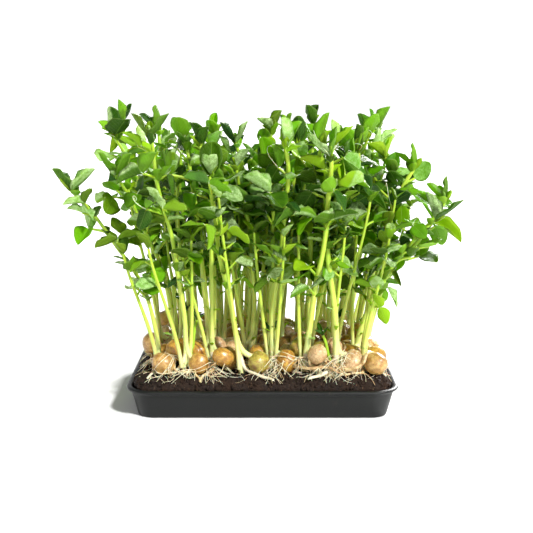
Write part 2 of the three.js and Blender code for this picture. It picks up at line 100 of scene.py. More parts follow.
# Least distances: from the middle of a stem to a leaf, between leaves, between leaves of one plant, between
# the middles of two stems, from a tip to another stem, and from a pea's side to a stem and to a pea. Then
# from one foot to the next, and from a foot and from a pea to the level top's edge.
CLEAR = dict(stem=2.9, leaf=2.75, own=2.9, stems=3.3, tip=6.5, pea=2, own_pea=1.25, peas=0.4)
SPACING = dict(feet=6, foot_edge=3, pea_edge=3.5)

# Plants that lean far out of the bed, by row and place in it: from the foot to the tip.
LEANING = {
    (0, 0): (-31, -5, 75),
    (1, 0): (-21, -8, 80),
    (3, 0): (-19, 3, 86),
    (0, 7): (26, -9, 64),
    (1, 6): (32, -6, 70),
    (2, 7): (20, 0, 82),
    (4, 7): (15, 6, 84),
}

# %% [markdown]
# ## Chance that repeats
# Plants differ by chance, but the lesson has to come out the same each time. A small number generator with
# a fixed start gives each plant its own draws for each stage of its growth.

# %% Seeded draws
RANDOM_SEED = 20181


class Draws:
    """The draws of one plant at one stage."""

    def __init__(self, plant, stage):
        self.state = RANDOM_SEED + plant * 7919 + stage * 104729
        for _ in range(4):
            self(0, 1)

    def __call__(self, low, high):
        self.state = (self.state * 1664525 + 1013904223) % 4294967296
        return low + (high - low) * self.state / 4294967296


def point(x, y, z):
    return np.array((x, y, z), float)


def unit(v):
    return v / np.linalg.norm(v)


def heading(azimuth, elevation=0.0):
    level = math.cos(elevation)
    return point(level * math.cos(azimuth), level * math.sin(azimuth), math.sin(elevation))


def bezier(path, t):
    s = 1 - t
    return s**3 * path[0] + 3 * s * s * t * path[1] + 3 * s * t * t * path[2] + t**3 * path[3]


def bezier_speed(path, t):
    s = 1 - t
    inner = 3 * s * (s - 2 * t) * path[1] + 3 * t * (2 * s - t) * path[2]
    return -3 * s * s * path[0] + inner + 3 * t * t * path[3]


# %% [markdown]
# ## How the plants stand
# Each shoot rises from beside its pea and leans a little outwards, because the bed is crowded and the light
# comes from all round. A stem is one Bezier curve, which bends like a real one and needs only four points.

# %% Stand the plants
def stem_at(draw, row, place, share):
    """A stem from foot to tip with two handles. With later tries it strays less, and its pea more."""
    calm = 1 - (1 - CALMEST) * share

    def stray(most):
        return calm * draw(-most, most)

    bearing = math.radians(PEA_BEARING[row % 2])
    aside = PEA_AWAY * math.cos(bearing) / 2
    foot = point(
        (place - (ROW_COUNTS[row] - 1) / 2) * ROW_PITCH[0] - aside + stray(STRAY[0]),
        (row - (len(ROW_COUNTS) - 1) / 2) * ROW_PITCH[1] + ROWS_BACK + stray(STRAY[1]),
        SOIL_TOP - FOOT_DEPTH,
    )
    height = draw(*STEM_HEIGHT)
    wander = point(*(stray(most) for most in STEM_WANDER))
    lean = LEANING.get((row, place))
    upright = point(foot[0] * STEM_SPREAD[0], foot[1] * STEM_SPREAD[1], foot[2] + height) + wander
    tip = foot + lean if lean else upright
    rise = tip[2] - foot[2]
    low, high = STEM_SWAY
    first = foot + (stray(low), stray(low), STEM_HANDLES[0] * rise)
    last = tip + (foot - tip) * STEM_HELD[1 if lean else 0] + (stray(high), stray(high), 0)
    last[2] = tip[2] - STEM_HANDLES[1] * rise
    path = [foot, first, last, tip]
    line = np.array([bezier(path, i / STEM_POINTS) for i in range(STEM_POINTS + 1)])
    round_stem = math.radians(PEA_STRAY[0] + (PEA_STRAY[1] - PEA_STRAY[0]) * share)
    to_pea = heading(bearing + draw(-round_stem, round_stem))
    return dict(row=row, place=place, lean=lean, path=path, line=line, to_pea=to_pea, leaves=[])


def inside_level(place, edge):
    return abs(place[0]) < SOIL_LEVEL[0] - edge and abs(place[1]) < SOIL_LEVEL[1] - edge


def stem_distances(samples, lines):
    """From each sample to the nearest of the lines."""
    starts = np.vstack([line[:-1] for line in lines])
    runs = np.vstack([line[1:] for line in lines]) - starts
    away = np.asarray(samples)[:, None] - starts[None]
    share = np.clip((away * runs).sum(-1) / (runs * runs).sum(-1), 0, 1)
    return np.linalg.norm(away - share[..., None] * runs, axis=-1).min(1)


def near_stems(samples, lines, distance):
    return (stem_distances(samples, lines) < distance).any()


def stands_clear(plant, others):
    line, centre, radius = plant["line"], plant["pea"], plant["pea_radius"]
    if near_stems([centre], [line], radius + CLEAR["own_pea"]):
        return False
    if not inside_level(line[0], SPACING["foot_edge"]) or not inside_level(centre, SPACING["pea_edge"]):
        return False
    if not others:
        return True
    lines = [other["line"] for other in others]
    feet, tips = np.array([line[0] for line in lines]), np.array([line[-1] for line in lines])
    peas = np.array([other["pea"] for other in others])
    radii = np.array([other["pea_radius"] for other in others])
    return not (
        (np.linalg.norm(feet - line[0], axis=1) <= SPACING["feet"]).any()
        or (np.linalg.norm(peas - centre, axis=1) <= radii + radius + CLEAR["peas"]).any()
        or (stem_distances(peas, [line]) < radii + CLEAR["pea"]).any()
        or near_stems([centre], lines, radius + CLEAR["pea"])
        or near_stems(line[-1:], lines, CLEAR["tip"])
        or near_stems(tips, [line], CLEAR["tip"])
        or near_stems(line, lines, CLEAR["stems"])
    )


def stand_plants():
    """Each stem and its pea are tried until both stand clear of those before."""
    standing = []
    for row, count in enumerate(ROW_COUNTS):
        for place in range(count):
            draw = Draws(len(standing), 0)
            pea_radius, radius, turn = draw(*PEA_RADIUS), draw(*STEM_RADIUS), draw(0, 2 * math.pi)
            for i in range(STEM_TRIES):
                plant = stem_at(draw, row, place, i / STEM_TRIES)
                plant["pea"] = plant["path"][0] + plant["to_pea"] * PEA_AWAY
                plant["pea"][2] = SOIL_TOP + GAP + PEA_FLAT * pea_radius
                plant.update(index=len(standing), pea_radius=pea_radius, radius=radius)
                plant["turn"] = math.atan2(*plant["lean"][1::-1]) if plant["lean"] else turn
                if stands_clear(plant, standing):
                    break
            standing.append(plant)
    return standing


plants = stand_plants()
print("plants:", len(plants))

# %% [markdown]
# ## How the leaves find room
# A pea leaf is a stalk with a pair of leaflets. Real leaves turn towards gaps in the crowd. Here each leaf
# is tried at one azimuth after the other until points on it stand clear of every stem and leaf around it.

# %% Grow the leaves
def leaflet_at(base, azimuth, elevation, roll, length):
    along = heading(azimuth, elevation)
    left = heading(azimuth + math.pi / 2)
    face = np.cross(along, left) * math.cos(roll) + left * math.sin(roll)
    return dict(base=base, along=along, face=face, length=length, width=length * LEAFLET_SHARE)


def leaflet_samples(leaflet):
    left = np.cross(leaflet["face"], leaflet["along"])
    samples = []
    for u in (0.1, 0.3, 0.5, 0.7, 0.9):
        half = 0.45 * leaflet["width"] * math.sin(math.pi * u**0.8)
        middle = leaflet["base"] + leaflet["along"] * u * leaflet["length"]
        samples += [middle + left * v * half for v in (-1, 0, 1)]
    return samples


def with_samples(leaf):
    leaf["blade_samples"] = np.array([p for one in leaf["leaflets"] for p in leaflet_samples(one)])
    leaf["samples"] = leaf["blade_samples"]
    if "stalk" in leaf:
        start, end = leaf["stalk"]
        on_stalk = [start + (end - start) * t for t in (0.35, 0.7, 1)]
        leaf["samples"] = np.vstack([leaf["blade_samples"], on_stalk])
    return leaf


def near_leaves(samples, leaves, distance):
    if not leaves:
        return False
    others = np.vstack([leaf["samples"] for leaf in leaves])
    return (np.linalg.norm(samples[:, None] - others[None], axis=-1) < distance).any()


def is_clear(leaf, plant, clear):
    one, two = (leaflet["along"] for leaflet in leaf["leaflets"])
    if "stalk" in leaf and one @ two > math.cos(math.radians(LEAST_OPENING)):
        return False
    others = [other for other in plants if other is not plant]
    if near_stems(leaf["samples"], [other["line"] for other in others], clear["stem"]):
        return False
    if near_leaves(leaf["samples"], [one for other in others for one in other["leaves"]], clear["leaf"]):
        return False
    if "stalk" in leaf and near_stems(leaf["blade_samples"], [plant["line"]], clear["own"]):
        return False
    return not near_leaves(leaf["samples"], plant["leaves"], clear["own"])


def stalked_leaf(draw, plant, at, length, stalk_length, azimuth, tilts, rolls):
    start = bezier(plant["path"], at)
    direction = heading(azimuth, math.radians(draw(*STALK_CLIMB)))
    end = start + direction * stalk_length
    opening = math.radians(draw(*LEAF_OPENING))
    leaflets = []
    for side in (-1, 1):
        elevation = math.radians(draw(*tilts))
        roll = side * math.radians(draw(*rolls))
        leaflets.append(leaflet_at(end, azimuth + side * opening, elevation, roll, length * draw(0.92, 1.06)))
    return with_samples(dict(at=at, azimuth=azimuth, leaflets=leaflets, stalk=(start, end)))


def crown_leaf(draw, plant, length, azimuth):
    base = plant["path"][3] + unit(bezier_speed(plant["path"], 1)) * CROWN_ABOVE
    steep = draw(32, 76)
    spread = draw(24, 108 - steep)
    leaflets = []
    for i, elevation in enumerate((steep, spread)):
        roll = math.radians(draw(-8, 8))
        size = length * draw(0.9, 1.1)
        leaflets.append(leaflet_at(base, azimuth + i * math.pi, math.radians(elevation), roll, size))
    return with_samples(dict(azimuth=azimuth, leaflets=leaflets))


# How far a stalk climbs, how far a pair opens, and then how far leaflets tilt and roll: those of the
# solids, and those that grow between them. All in degrees.
STALK_CLIMB = (8, 50)
LEAF_OPENING = (56, 84)
LEAF_HABITS = dict(solid=((-35, 50), (-10, 60)), fine=((-68, 70), (-35, 84)))
FIRST_FINE_STAGE = 5

# Stage: place on the stem, length of the leaflets, length of the stalk, side of the stem in degrees.
STAGES = {
    1: (None, (9.6, 12.8), None, 0),
    2: ((0.77, 0.86), (10, 13.4), (6, 11), 0),
    3: ((0.42, 0.56), (7.4, 10.4), (5, 9), 180),
    4: ((0.61, 0.72), (8.4, 11.6), (5, 9), 90),
}


def attempts(plant, stage):
    """The leaves that a plant tries at a stage, one after the other, each a little smaller."""
    draw = Draws(plant["index"], stage)
    place, length, stalk, side = (
        draw(*limits) if isinstance(limits, tuple) else limits for limits in STAGES[stage]
    )
    for i in range(LEAF_TRIES):
        share = 1 - SHRINK * i
        azimuth = plant["turn"] + math.radians(side) + i * TURN
        if stalk is None:
            yield crown_leaf(draw, plant, length * share, azimuth)
        else:
            habit = LEAF_HABITS["solid" if stage < FIRST_FINE_STAGE else "fine"]
            yield stalked_leaf(draw, plant, place, length * share, stalk * share, azimuth, *habit)


def grow(stages, clear):
    for stage in stages:
        for plant in plants:
            standing = (leaf for leaf in attempts(plant, stage) if is_clear(leaf, plant, clear))
            plant["leaves"] += [leaf for leaf in [next(standing, None)] if leaf]


grow((1, 2, 3, 4), CLEAR)
print("leaves:", sum(len(plant["leaves"]) for plant in plants))

# %% [markdown]
# The rule is only right if it puts each leaf where its solid stands. So the ends of the leaflets are
# compared with the box of the plant's solid.

# %% Compare with the solids
worst = 0.0
for plant in plants:
    low, high = (np.array(corner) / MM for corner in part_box(f"plant_{plant['index'] + 1:02d}"))
    blades = [one for leaf in plant["leaves"] for one in leaf["leaflets"]]
    ends = np.array([one["base"] + one["along"] * one["length"] for one in blades])
    worst = max(worst, (low - ends.min(0)).max(), (ends.max(0) - high).max())
print("furthest that a leaf's end stands outside its solid's box, mm:", round(float(worst), 2))

# %% [markdown]
# ## Formulas in node trees
# Geometry Nodes and shaders both work on fields. A long formula is hard to read as boxes, so this small
# class writes it as a sum in Python and lays down one Math node for each sign in it.

# %% Fields as plain formulas
def plug(slot, value):
    """Links a field to a socket, or sets a plain value on it."""
    if isinstance(value, Field):
        value.tree.links.new(value.socket, slot)
    else:
        slot.default_value = value


def add_node(tree, kind, out=0, settings=None, slots=(), **inputs):
    """One output of a new node. Its inputs are filled in their order, or by name with _ for a space."""
    node = tree.nodes.new(kind)
    for name, value in (settings or {}).items():
        setattr(node, name, value)
    for slot, value in zip(node.inputs, slots):
        plug(slot, value)
    for name, value in inputs.items():
        title = name.replace("_", " ")
        plug(next(slot for slot in node.inputs if slot.name == title and slot.enabled), value)
    return Field(tree, node.outputs[out])


class Field:
    """A socket of a node tree that can stand in a formula."""

    def __init__(self, tree, socket):
        self.tree = tree
        self.socket = socket

    def math(self, operation, *others, kind="ShaderNodeMath"):
        return add_node(self.tree, kind, 0, {"operation": operation}, (self, *others))

    def vector(self, operation, *others):
        return self.math(operation, *others, kind="ShaderNodeVectorMath")

    def scaled(self, by):
        return add_node(self.tree, "ShaderNodeVectorMath", 0, {"operation": "SCALE"}, (self,), Scale=by)

    def parts(self):
        node = self.tree.nodes.new("ShaderNodeSeparateXYZ")
        plug(node.inputs[0], self)
        return [Field(self.tree, out) for out in node.outputs]

    def between(self, low, high, first=0.0, last=1.0):
        """The smooth step from first at low to last at high."""
        settings = {"interpolation_type": "SMOOTHSTEP"}
        return add_node(self.tree, "ShaderNodeMapRange", 0, settings, (self, low, high, first, last))

    def __add__(self, other):
        return self.math("ADD", other)

    def __sub__(self, other):
        return self.math("SUBTRACT", other)

    def __rsub__(self, other):
        return self * -1 + other

    def __mul__(self, other):
        return self.math("MULTIPLY", other)

    def __truediv__(self, other):
        return self.math("DIVIDE", other)

    def __pow__(self, other):
        return self.math("POWER", other)

    __radd__ = __add__
    __rmul__ = __mul__


def join_vector(*parts):
    tree = next(part.tree for part in parts if isinstance(part, Field))
    return add_node(tree, "ShaderNodeCombineXYZ", slots=parts)


# %% [markdown]
# ## Trees that make pieces
# Each geometry tree here takes a bare mesh, points or lines with named attributes, and turns it into a
# skin. The tree is run once, its result becomes a plain mesh, and the modifier goes, so nothing live is
# left.

# %% Build and run a geometry tree
def added(name, data):
    """A new object in the scene."""
    thing = bpy.data.objects.new(name, data)
    bpy.context.scene.collection.objects.link(thing)
    return thing


class Maker:
    """A geometry tree with named inputs, each given with its kind."""

    def __init__(self, title, **inputs):
        self.tree = bpy.data.node_groups.new(title, "GeometryNodeTree")
        self.identifiers = {}
        for name, kind in {"Geometry": "Geometry", **inputs}.items():
            socket = self.tree.interface.new_socket(name, in_out="INPUT", socket_type="NodeSocket" + kind)
            self.identifiers[name] = socket.identifier
        self.tree.interface.new_socket("Geometry", in_out="OUTPUT", socket_type="NodeSocketGeometry")
        self.entry = self.tree.nodes.new("NodeGroupInput")
        self.geometry = self.input("Geometry")

    def input(self, name):
        return Field(self.tree, self.entry.outputs[name])

    def node(self, kind, out=0, settings=None, **inputs):
        return add_node(self.tree, kind, out, settings, **inputs)

    def position(self):
        return self.node("GeometryNodeInputPosition")

    def named(self, name, data_type="FLOAT_VECTOR"):
        node = self.tree.nodes.new("GeometryNodeInputNamedAttribute")
        node.data_type = data_type
        node.inputs["Name"].default_value = name
        return Field(self.tree, next(out for out in node.outputs if out.enabled and out.name == "Attribute"))

    def store(self, geometry, name, value, data_type="FLOAT_VECTOR", domain="POINT"):
        settings = {"data_type": data_type, "domain": domain}
        inputs = dict(Geometry=geometry, Name=name, Value=value)
        return self.node("GeometryNodeStoreNamedAttribute", 0, settings, **inputs)

    def placed(self, thing, attribute):
        """The thing on every point given. Each copy keeps its point's place in a named attribute."""
        points = self.store(self.geometry, attribute, self.position())
        copies = self.node("GeometryNodeInstanceOnPoints", Points=points, Instance=thing)
        return self.node("GeometryNodeRealizeInstances", Geometry=copies)

    def finish(self, geometry, *materials):
        """Realizes what is placed, smooths it and gives it materials, each with its own selection."""
        geometry = self.node("GeometryNodeRealizeInstances", Geometry=geometry)
        geometry = self.node("GeometryNodeSetShadeSmooth", Geometry=geometry)
        for name, selection in materials:
            inputs = dict(Selection=selection, Material=self.input(name))
            geometry = self.node("GeometryNodeSetMaterial", Geometry=geometry, **inputs)
        self.tree.links.new(geometry.socket, self.tree.nodes.new("NodeGroupOutput").inputs[0])

    def run(self, name, mesh, **inputs):
        """A plain object made from a bare mesh by this tree."""
        source = added(name + "_source", mesh)
        modifier = source.modifiers.new("maker", "NODES")
        modifier.node_group = self.tree
        for title, value in inputs.items():
            modifier[self.identifiers[title]] = value
        depsgraph = bpy.context.evaluated_depsgraph_get()
        evaluated = source.evaluated_get(depsgraph)
        made = bpy.data.meshes.new_from_object(evaluated, preserve_all_data_layers=True, depsgraph=depsgraph)
        source.modifiers.clear()
        bpy.data.objects.remove(source)
        bpy.data.meshes.remove(mesh)
        made.name = name
        if made.materials and made.materials[0] is None:
            made.materials.pop(index=0)
        return added(name, made)


def bare_mesh(points, edges=(), **attributes):
    """Points in millimetres, with lines between them, and values for each point."""
    mesh = bpy.data.meshes.new("bare")
    mesh.from_pydata((np.array(points) * MM).tolist(), edges, [])
    for name, values in attributes.items():
        values = np.array(values, np.float32)
        kind, key = ("FLOAT_VECTOR", "vector") if values.ndim == 2 else ("FLOAT", "value")
        mesh.attributes.new(name, kind, "POINT").data.foreach_set(key, values.ravel())
    return mesh


def shell(name, points, faces):
    """A smooth object from points in millimetres and faces."""
    mesh = bpy.data.meshes.new(name)
    mesh.from_pydata([tuple(part * MM for part in at) for at in points], [], faces)
    mesh.shade_smooth()
    return added(name, mesh)


def joined(name, *parts):
    """One object from several, with their materials."""
    chosen = list(parts)
    names = {"active_object": chosen[0], "object": chosen[0]}
    with bpy.context.temp_override(**names, selected_objects=chosen, selected_editable_objects=chosen):
        bpy.ops.object.join()
    chosen[0].name = chosen[0].data.name = name
    return chosen[0]


def count_triangles(piece):
    piece.data.calc_loop_triangles()
    return len(piece.data.loop_triangles)


# %% [markdown]
# ## Paints
# Every finish is a small shader: a base colour that varies, a roughness, and a bump from fine noise. The
# same Field formulas write them, and the pattern follows the piece's own attributes or its Object
# coordinates.

# %% Start a finish
class Paint:
    """A material with a Principled shader, and fields to colour it with."""

    def __init__(self, title, roughness, **sockets):
        self.material = bpy.data.materials.new(title)
        self.material.use_nodes = True
        self.tree = self.material.node_tree
        self.shader = self.tree.nodes["Principled BSDF"]
        self.shader.inputs["Roughness"].default_value = roughness
        for name, value in sockets.items():
            self.shader.inputs[name.replace("_", " ")].default_value = value
        self.place = self.node("ShaderNodeTexCoord", "Object")

    def node(self, kind, out=0, settings=None, **inputs):
        return add_node(self.tree, kind, out, settings, **inputs)

    def attribute(self, name):
        return self.node("ShaderNodeAttribute", "Vector", {"attribute_name": name})

    def noise(self, scale, detail=3.0, roughness=0.55, where=None):
        inputs = dict(Scale=scale, Detail=detail, Roughness=roughness)
        return self.node("ShaderNodeTexNoise", "Fac", Vector=where or self.place, **inputs)

    def streaks(self, stretch, detail=2.0, turned=(0.0, 0.0, 0.0)):
        """Noise that is drawn out where the stretch is small."""
        where = self.node("ShaderNodeMapping", Vector=self.place, Scale=stretch, Rotation=turned)
        return self.noise(1.0, detail, where=where)

    def cells(self, scale):
        settings = {"feature": "DISTANCE_TO_EDGE"}
        return self.node("ShaderNodeTexVoronoi", "Distance", settings, Vector=self.place, Scale=scale)

    def mix(self, share, first, last):
        """One colour where share is 0, the other where it is 1."""
        node = self.tree.nodes.new("ShaderNodeMix")
        node.data_type = "RGBA"
        for slot, value in zip((node.inputs[0], *node.inputs[6:8]), (share, first, last)):
            plug(slot, (*value, 1.0) if isinstance(value, tuple) else value)
        return Field(self.tree, node.outputs[2])

    def glow_through(self, colour, share):
        """Lets light from behind colour the piece, as thin leaves do."""
        through = self.node("ShaderNodeBsdfTranslucent", Color=colour)
        mix = self.tree.nodes.new("ShaderNodeMixShader")
        mix.inputs[0].default_value = share
        self.tree.links.new(self.shader.outputs[0], mix.inputs[1])
        self.tree.links.new(through.socket, mix.inputs[2])
        self.tree.links.new(mix.outputs[0], self.tree.nodes["Material Output"].inputs["Surface"])

    def done(self, colour, bump=None, roughness=None):
        """The material, once its colour, bump and roughness are wired to the shader."""
        plug(self.shader.inputs["Base Color"], colour)
        if roughness:
            plug(self.shader.inputs["Roughness"], roughness)
        if bump:
            height, distance, strength = bump
            inputs = dict(Height=height, Distance=distance, Strength=strength)
            plug(self.shader.inputs["Normal"], self.node("ShaderNodeBump", "Normal", **inputs))
        return self.material


# %% [markdown]
# ## Leaf finishes
# The upper face of a pea leaflet is deep green with a soft waxy gloss and fine paler veins. The underside
# is pale and dull. Young blades are yellow-green. Some blades get a pale patchy bloom that is partly real
# wax bloom and partly painted sheen. It lies on one half of the blade, as if light fell on that half, or on
# the whole blade. A blade carries its own coordinates, so the veins follow it.

# %% Leaf finishes
BLUISH = (0.004, 0.06, 0.022)
OLIVE = (0.06, 0.1, 0.004)
GLOW = (0.42, 0.76, 0.004)
# Pale bloom colour: partly real wax bloom, partly a painted sheen where light would fall.
BLOOM_AND_SHEEN = (0.7, 0.9, 0.44)


def leaf_paint(title, roughness, bloom_and_sheen_share, dark, light, young, vein):
    paint = Paint(title, roughness, Specular_IOR_Level=0.14)
    along, across, rim = paint.attribute("blade").parts()
    tone, youth, phase = paint.attribute("tone").parts()
    spread = across.math("ABSOLUTE")
    blotch = paint.noise(260.0, 4.0)
    base = paint.mix((tone * 0.75 + blotch * 0.5 - 0.12).between(0.1, 0.95), dark, light)
    base = paint.mix(phase.between(0.0, 1.3, 0.75, 0.0), base, BLUISH)
    base = paint.mix(phase.between(1.6, 2.6, 0.0, 0.6) * phase.between(2.6, 3.2, 1.0, 0.0), base, OLIVE)
    base = paint.mix(youth, base, young)
    net = paint.cells(1500.0).between(0.0, 0.16, 1.0, 0.0)
    side_run = (along * 7.5 - spread * 2.1 + phase * 0.3).math("FRACT")
    side_vein = (side_run - 0.5).math("ABSOLUTE").between(0.0, 0.09, 1.0, 0.0)
    midrib = spread.between(0.0, 0.05, 1.0, 0.0)
    margin = rim.between(0.88, 1.0)
    # Painted sheen: the pale bloom covers one half of the blade, as if light fell on that half, or the whole
    # blade; it is partly real wax bloom.
    bloom_and_sheen_half = (across + (phase - 4.95) * 1.5).between(-0.12, 0.12)
    patchy = paint.noise(520.0, 4.0, 0.7).between(0.34, 0.62, 0.25, 1.0)
    base = paint.mix(bloom_and_sheen_half * patchy * (1 - net * 0.5) * bloom_and_sheen_share, base, BLOOM_AND_SHEEN)
    veins = midrib.math("MAXIMUM", side_vein * 0.45).math("MAXIMUM", net * 0.22)
    veins = veins.math("MAXIMUM", margin * 0.7)
    colour = paint.mix(veins * 0.5, base, vein)
    worn = paint.noise(900.0, 2.0).between(0.2, 0.8, roughness - 0.08, roughness + 0.14)
    height = side_vein * -0.5 + midrib * -1.0 + net * -0.35 + paint.noise(420.0) * 1.2
    paint.glow_through(paint.mix(tone.between(0.15, 0.85, 0.2, 0.85), colour, GLOW), 0.4)
    return paint.done(colour, (height, 0.00026, 0.7), worn)


UPPER_GREENS = ((0.006, 0.05, 0.001), (0.17, 0.46, 0.003), (0.4, 0.64, 0.005), (0.32, 0.55, 0.06))
UNDER_GREENS = ((0.025, 0.105, 0.003), (0.24, 0.5, 0.02), (0.44, 0.66, 0.02), (0.46, 0.66, 0.15))
upper_material = leaf_paint("leaf_upper", 0.36, 0.8, *UPPER_GREENS)
under_material = leaf_paint("leaf_underside", 0.48, 1.0, *UNDER_GREENS)

# %% [markdown]
# ## Stem, tendril and root finishes
# A pea stem is nearly white where it leaves the soil, because light has not reached it, and turns
# yellow-green higher up. The colour follows the height share that each point of a stem carries.

# %% Stem, tendril and root finishes
def stem_finish():
    paint = Paint("stem_green", 0.36, Subsurface_Weight=0.25, Subsurface_Scale=0.001, Specular_IOR_Level=0.3)
    height, tone, fineness = paint.attribute("tint").parts()
    streak = paint.streaks((900.0, 900.0, 60.0))
    foot = paint.mix(streak, (0.62, 0.64, 0.25), (0.78, 0.77, 0.4))
    low = paint.mix(streak, (0.45, 0.55, 0.07), (0.65, 0.7, 0.16))
    high = paint.mix(tone, (0.28, 0.48, 0.02), (0.43, 0.6, 0.05))
    colour = paint.mix(height.between(0.03, 0.26), foot, low)
    colour = paint.mix(height.between(0.15, 0.65), colour, high)
    colour = paint.mix(streak.between(0.5, 0.9) * 0.3, colour, (0.6, 0.74, 0.2))
    colour = paint.mix(fineness, colour, (0.62, 0.72, 0.42))
    return paint.done(colour, (streak + paint.noise(700.0) * 0.6, 0.00012, 0.5))


def root_finish():
    paint = Paint("root_cream", 0.42, Subsurface_Weight=0.2, Subsurface_Scale=0.001)
    thickness, tone, paleness = paint.attribute("tint").parts()
    blotch = paint.noise(420.0, 5.0, 0.7).between(0.3, 0.62)
    colour = paint.mix(blotch, (0.26, 0.14, 0.04), (0.68, 0.53, 0.27))
    colour = paint.mix(tone.between(0.7, 1.0) * 0.6, colour, (0.3, 0.16, 0.06))
    thin = thickness.between(0.15, 0.4, 0.8, 0.0) * tone.between(0.5, 0.85, 1.0, 0.2)
    colour = paint.mix(thin.math("MAXIMUM", paleness), colour, (0.8, 0.76, 0.56))
    return paint.done(colour, (paint.noise(1200.0, 4.0), 0.00018, 0.7))


stem_green = stem_finish()
root_cream = root_finish()

# %% [markdown]
# ## Tubes along lines
# Stems, stalks, tendrils and roots are all round and follow a line. One tree sweeps a circle along any
# line, scaled by the thickness that each point of the line carries.

# %% The tube maker
tube_maker = Maker("Tubes along lines", Sides="Int", Finish="Material")
circle = tube_maker.node("GeometryNodeCurvePrimitiveCircle", Resolution=tube_maker.input("Sides"), Radius=1.0)
tube_skin = tube_maker.node(
    "GeometryNodeCurveToMesh",
    Curve=tube_maker.node("GeometryNodeMeshToCurve", Mesh=tube_maker.geometry),
    Profile_Curve=circle,
    Scale=tube_maker.named("thick", "FLOAT"),
    Fill_Caps=True,
)
tube_maker.finish(tube_skin, ("Finish", True))


class Lines:
    """Gathers lines for the tube maker: points in millimetres, and a thickness and tint at each."""

    def __init__(self):
        self.points, self.edges, self.thick, self.tint = [], [], [], []

    def add(self, points, thick, tint):
        first = len(self.points)
        self.points += list(points)
        self.edges += [(first + i, first + i + 1) for i in range(len(points) - 1)]
        self.thick += list(np.broadcast_to(thick, len(points)) * MM)
        self.tint += [tuple(row) for row in np.broadcast_to(tint, (len(points), 3))]

    def made(self, name, sides, material):
        mesh = bare_mesh(self.points, self.edges, thick=self.thick, tint=self.tint)
        return tube_maker.run(name, mesh, Sides=sides, Finish=material)


# %% [markdown]
# ## Leaf blades
# A blade could be modelled once and copied, but no two pea leaflets fold or curl alike. So a tree lays a
# small closed lens on each point and bends it by a formula from the point's own length, width, fold and
# droop.

# %% The blade maker
BLADE_CUTS = (11, 7)
BLADE_THICKNESS = 0.3
OVATE = 0.13
RIPPLE = 0.08
RIM_SLACK = 0.00001  # keeps the rows just inside the disc, so that rounding opens no gap at its rim
FACE_SLACK = 0.0002
MERGED_WITHIN = 0.002

blade_maker = Maker("Leaf blades", Upper="Material", Under="Material", Thickness="Float")


def lens_layer(side):
    """A sheet of rows that narrow to both ends, raised to the lens's upper face or let down to its lower."""
    cuts = dict(Vertices_X=BLADE_CUTS[0], Vertices_Y=BLADE_CUTS[1])
    sheet = blade_maker.node("GeometryNodeMeshGrid", Size_X=2.0, Size_Y=2.0, **cuts)
    x, y, _ = blade_maker.position().parts()
    disc_x = (x * (math.pi / 2)).math("SINE")
    disc_y = y * (1 - disc_x * disc_x - RIM_SLACK).math("MAXIMUM", 0.0) ** 0.5
    rise = (1 - disc_x * disc_x - disc_y * disc_y - FACE_SLACK).math("MAXIMUM", 0.0) ** 0.5
    place = join_vector(disc_x, disc_y, rise * side)
    sheet = blade_maker.node("GeometryNodeSetPosition", Geometry=sheet, Position=place)
    if side < 0:
        sheet = blade_maker.node("GeometryNodeFlipFaces", Mesh=sheet)
    return blade_maker.store(sheet, "under", side < 0, "BOOLEAN", "FACE")


both_layers = blade_maker.tree.nodes.new("GeometryNodeJoinGeometry")
for side in (1, -1):
    blade_maker.tree.links.new(lens_layer(side).socket, both_layers.inputs[0])
both_layers = Field(blade_maker.tree, both_layers.outputs[0])
lens = blade_maker.node("GeometryNodeMergeByDistance", Geometry=both_layers, Distance=MERGED_WITHIN)
lens = blade_maker.store(lens, "disc", blade_maker.position())
blades = blade_maker.placed(lens, "base")

disc_x, disc_y, disc_z = blade_maker.named("disc").parts()
length, width, fold = blade_maker.named("size").parts()
droop, cup, phase = blade_maker.named("habit").parts()
along = blade_maker.named("along")
face = blade_maker.named("face")
u = (disc_x + 1) * 0.5
across = disc_y * (1 - disc_x * OVATE) * width * 0.5
off_rib = (across * across + (width * 0.03) ** 2.0) ** 0.5 - width * 0.03
tip = (disc_x - 0.82).math("MAXIMUM", 0.0) / 0.18
ripple = (disc_x * 4.6 + phase + disc_y * 1.3).math("SINE") * disc_y * disc_y * width * RIPPLE
forward = u * length + tip * tip * length * 0.035 - droop * droop * u * u * u * length * 0.5
upwards = (
    off_rib * fold.math("SINE")
    + cup * disc_y * disc_y * width * 0.5
    + ripple
    - droop * u * u * length
    + disc_z * blade_maker.input("Thickness") * 0.5
)
place = blade_maker.named("base").vector("ADD", along.scaled(forward))
place = place.vector("ADD", face.vector("CROSS_PRODUCT", along).scaled(across * fold.math("COSINE")))
place = place.vector("ADD", face.scaled(upwards))
blades = blade_maker.node("GeometryNodeSetPosition", Geometry=blades, Position=place)
rim = (disc_x * disc_x + disc_y * disc_y) ** 0.5
blades = blade_maker.store(blades, "blade", join_vector(u, disc_y, rim))
blade_maker.finish(blades, ("Upper", True), ("Under", blade_maker.named("under", "BOOLEAN")))
print("blade tree nodes:", len(blade_maker.tree.nodes))


class Blades:
    """Gathers blades for the blade maker: lengths in millimetres, and the fold in degrees."""

    def __init__(self):
        self.rows = {name: [] for name in ("points", "along", "face", "size", "habit", "tone")}

    def add(self, base, along, face, length, width, fold, habit, tone):
        along = unit(along)
        face = unit(face - along * (face @ along))
        size = (length * MM, width * MM, math.radians(fold))
        for rows, value in zip(self.rows.values(), (base, along, face, size, habit, tone)):
            rows.append(value)

    def made(self, name):
        finish = dict(Upper=upper_material, Under=under_material)
        return blade_maker.run(name, bare_mesh(**self.rows), Thickness=BLADE_THICKNESS * MM, **finish)


# %% [markdown]
# ## Fine growth
# The solids hold about four leaves a plant. A real shoot has more: leaves between them, a pair of stipules
# that clasp the stem at each node, a folded bud in the crown, small scale leaves low down, and thin
# tendrils.

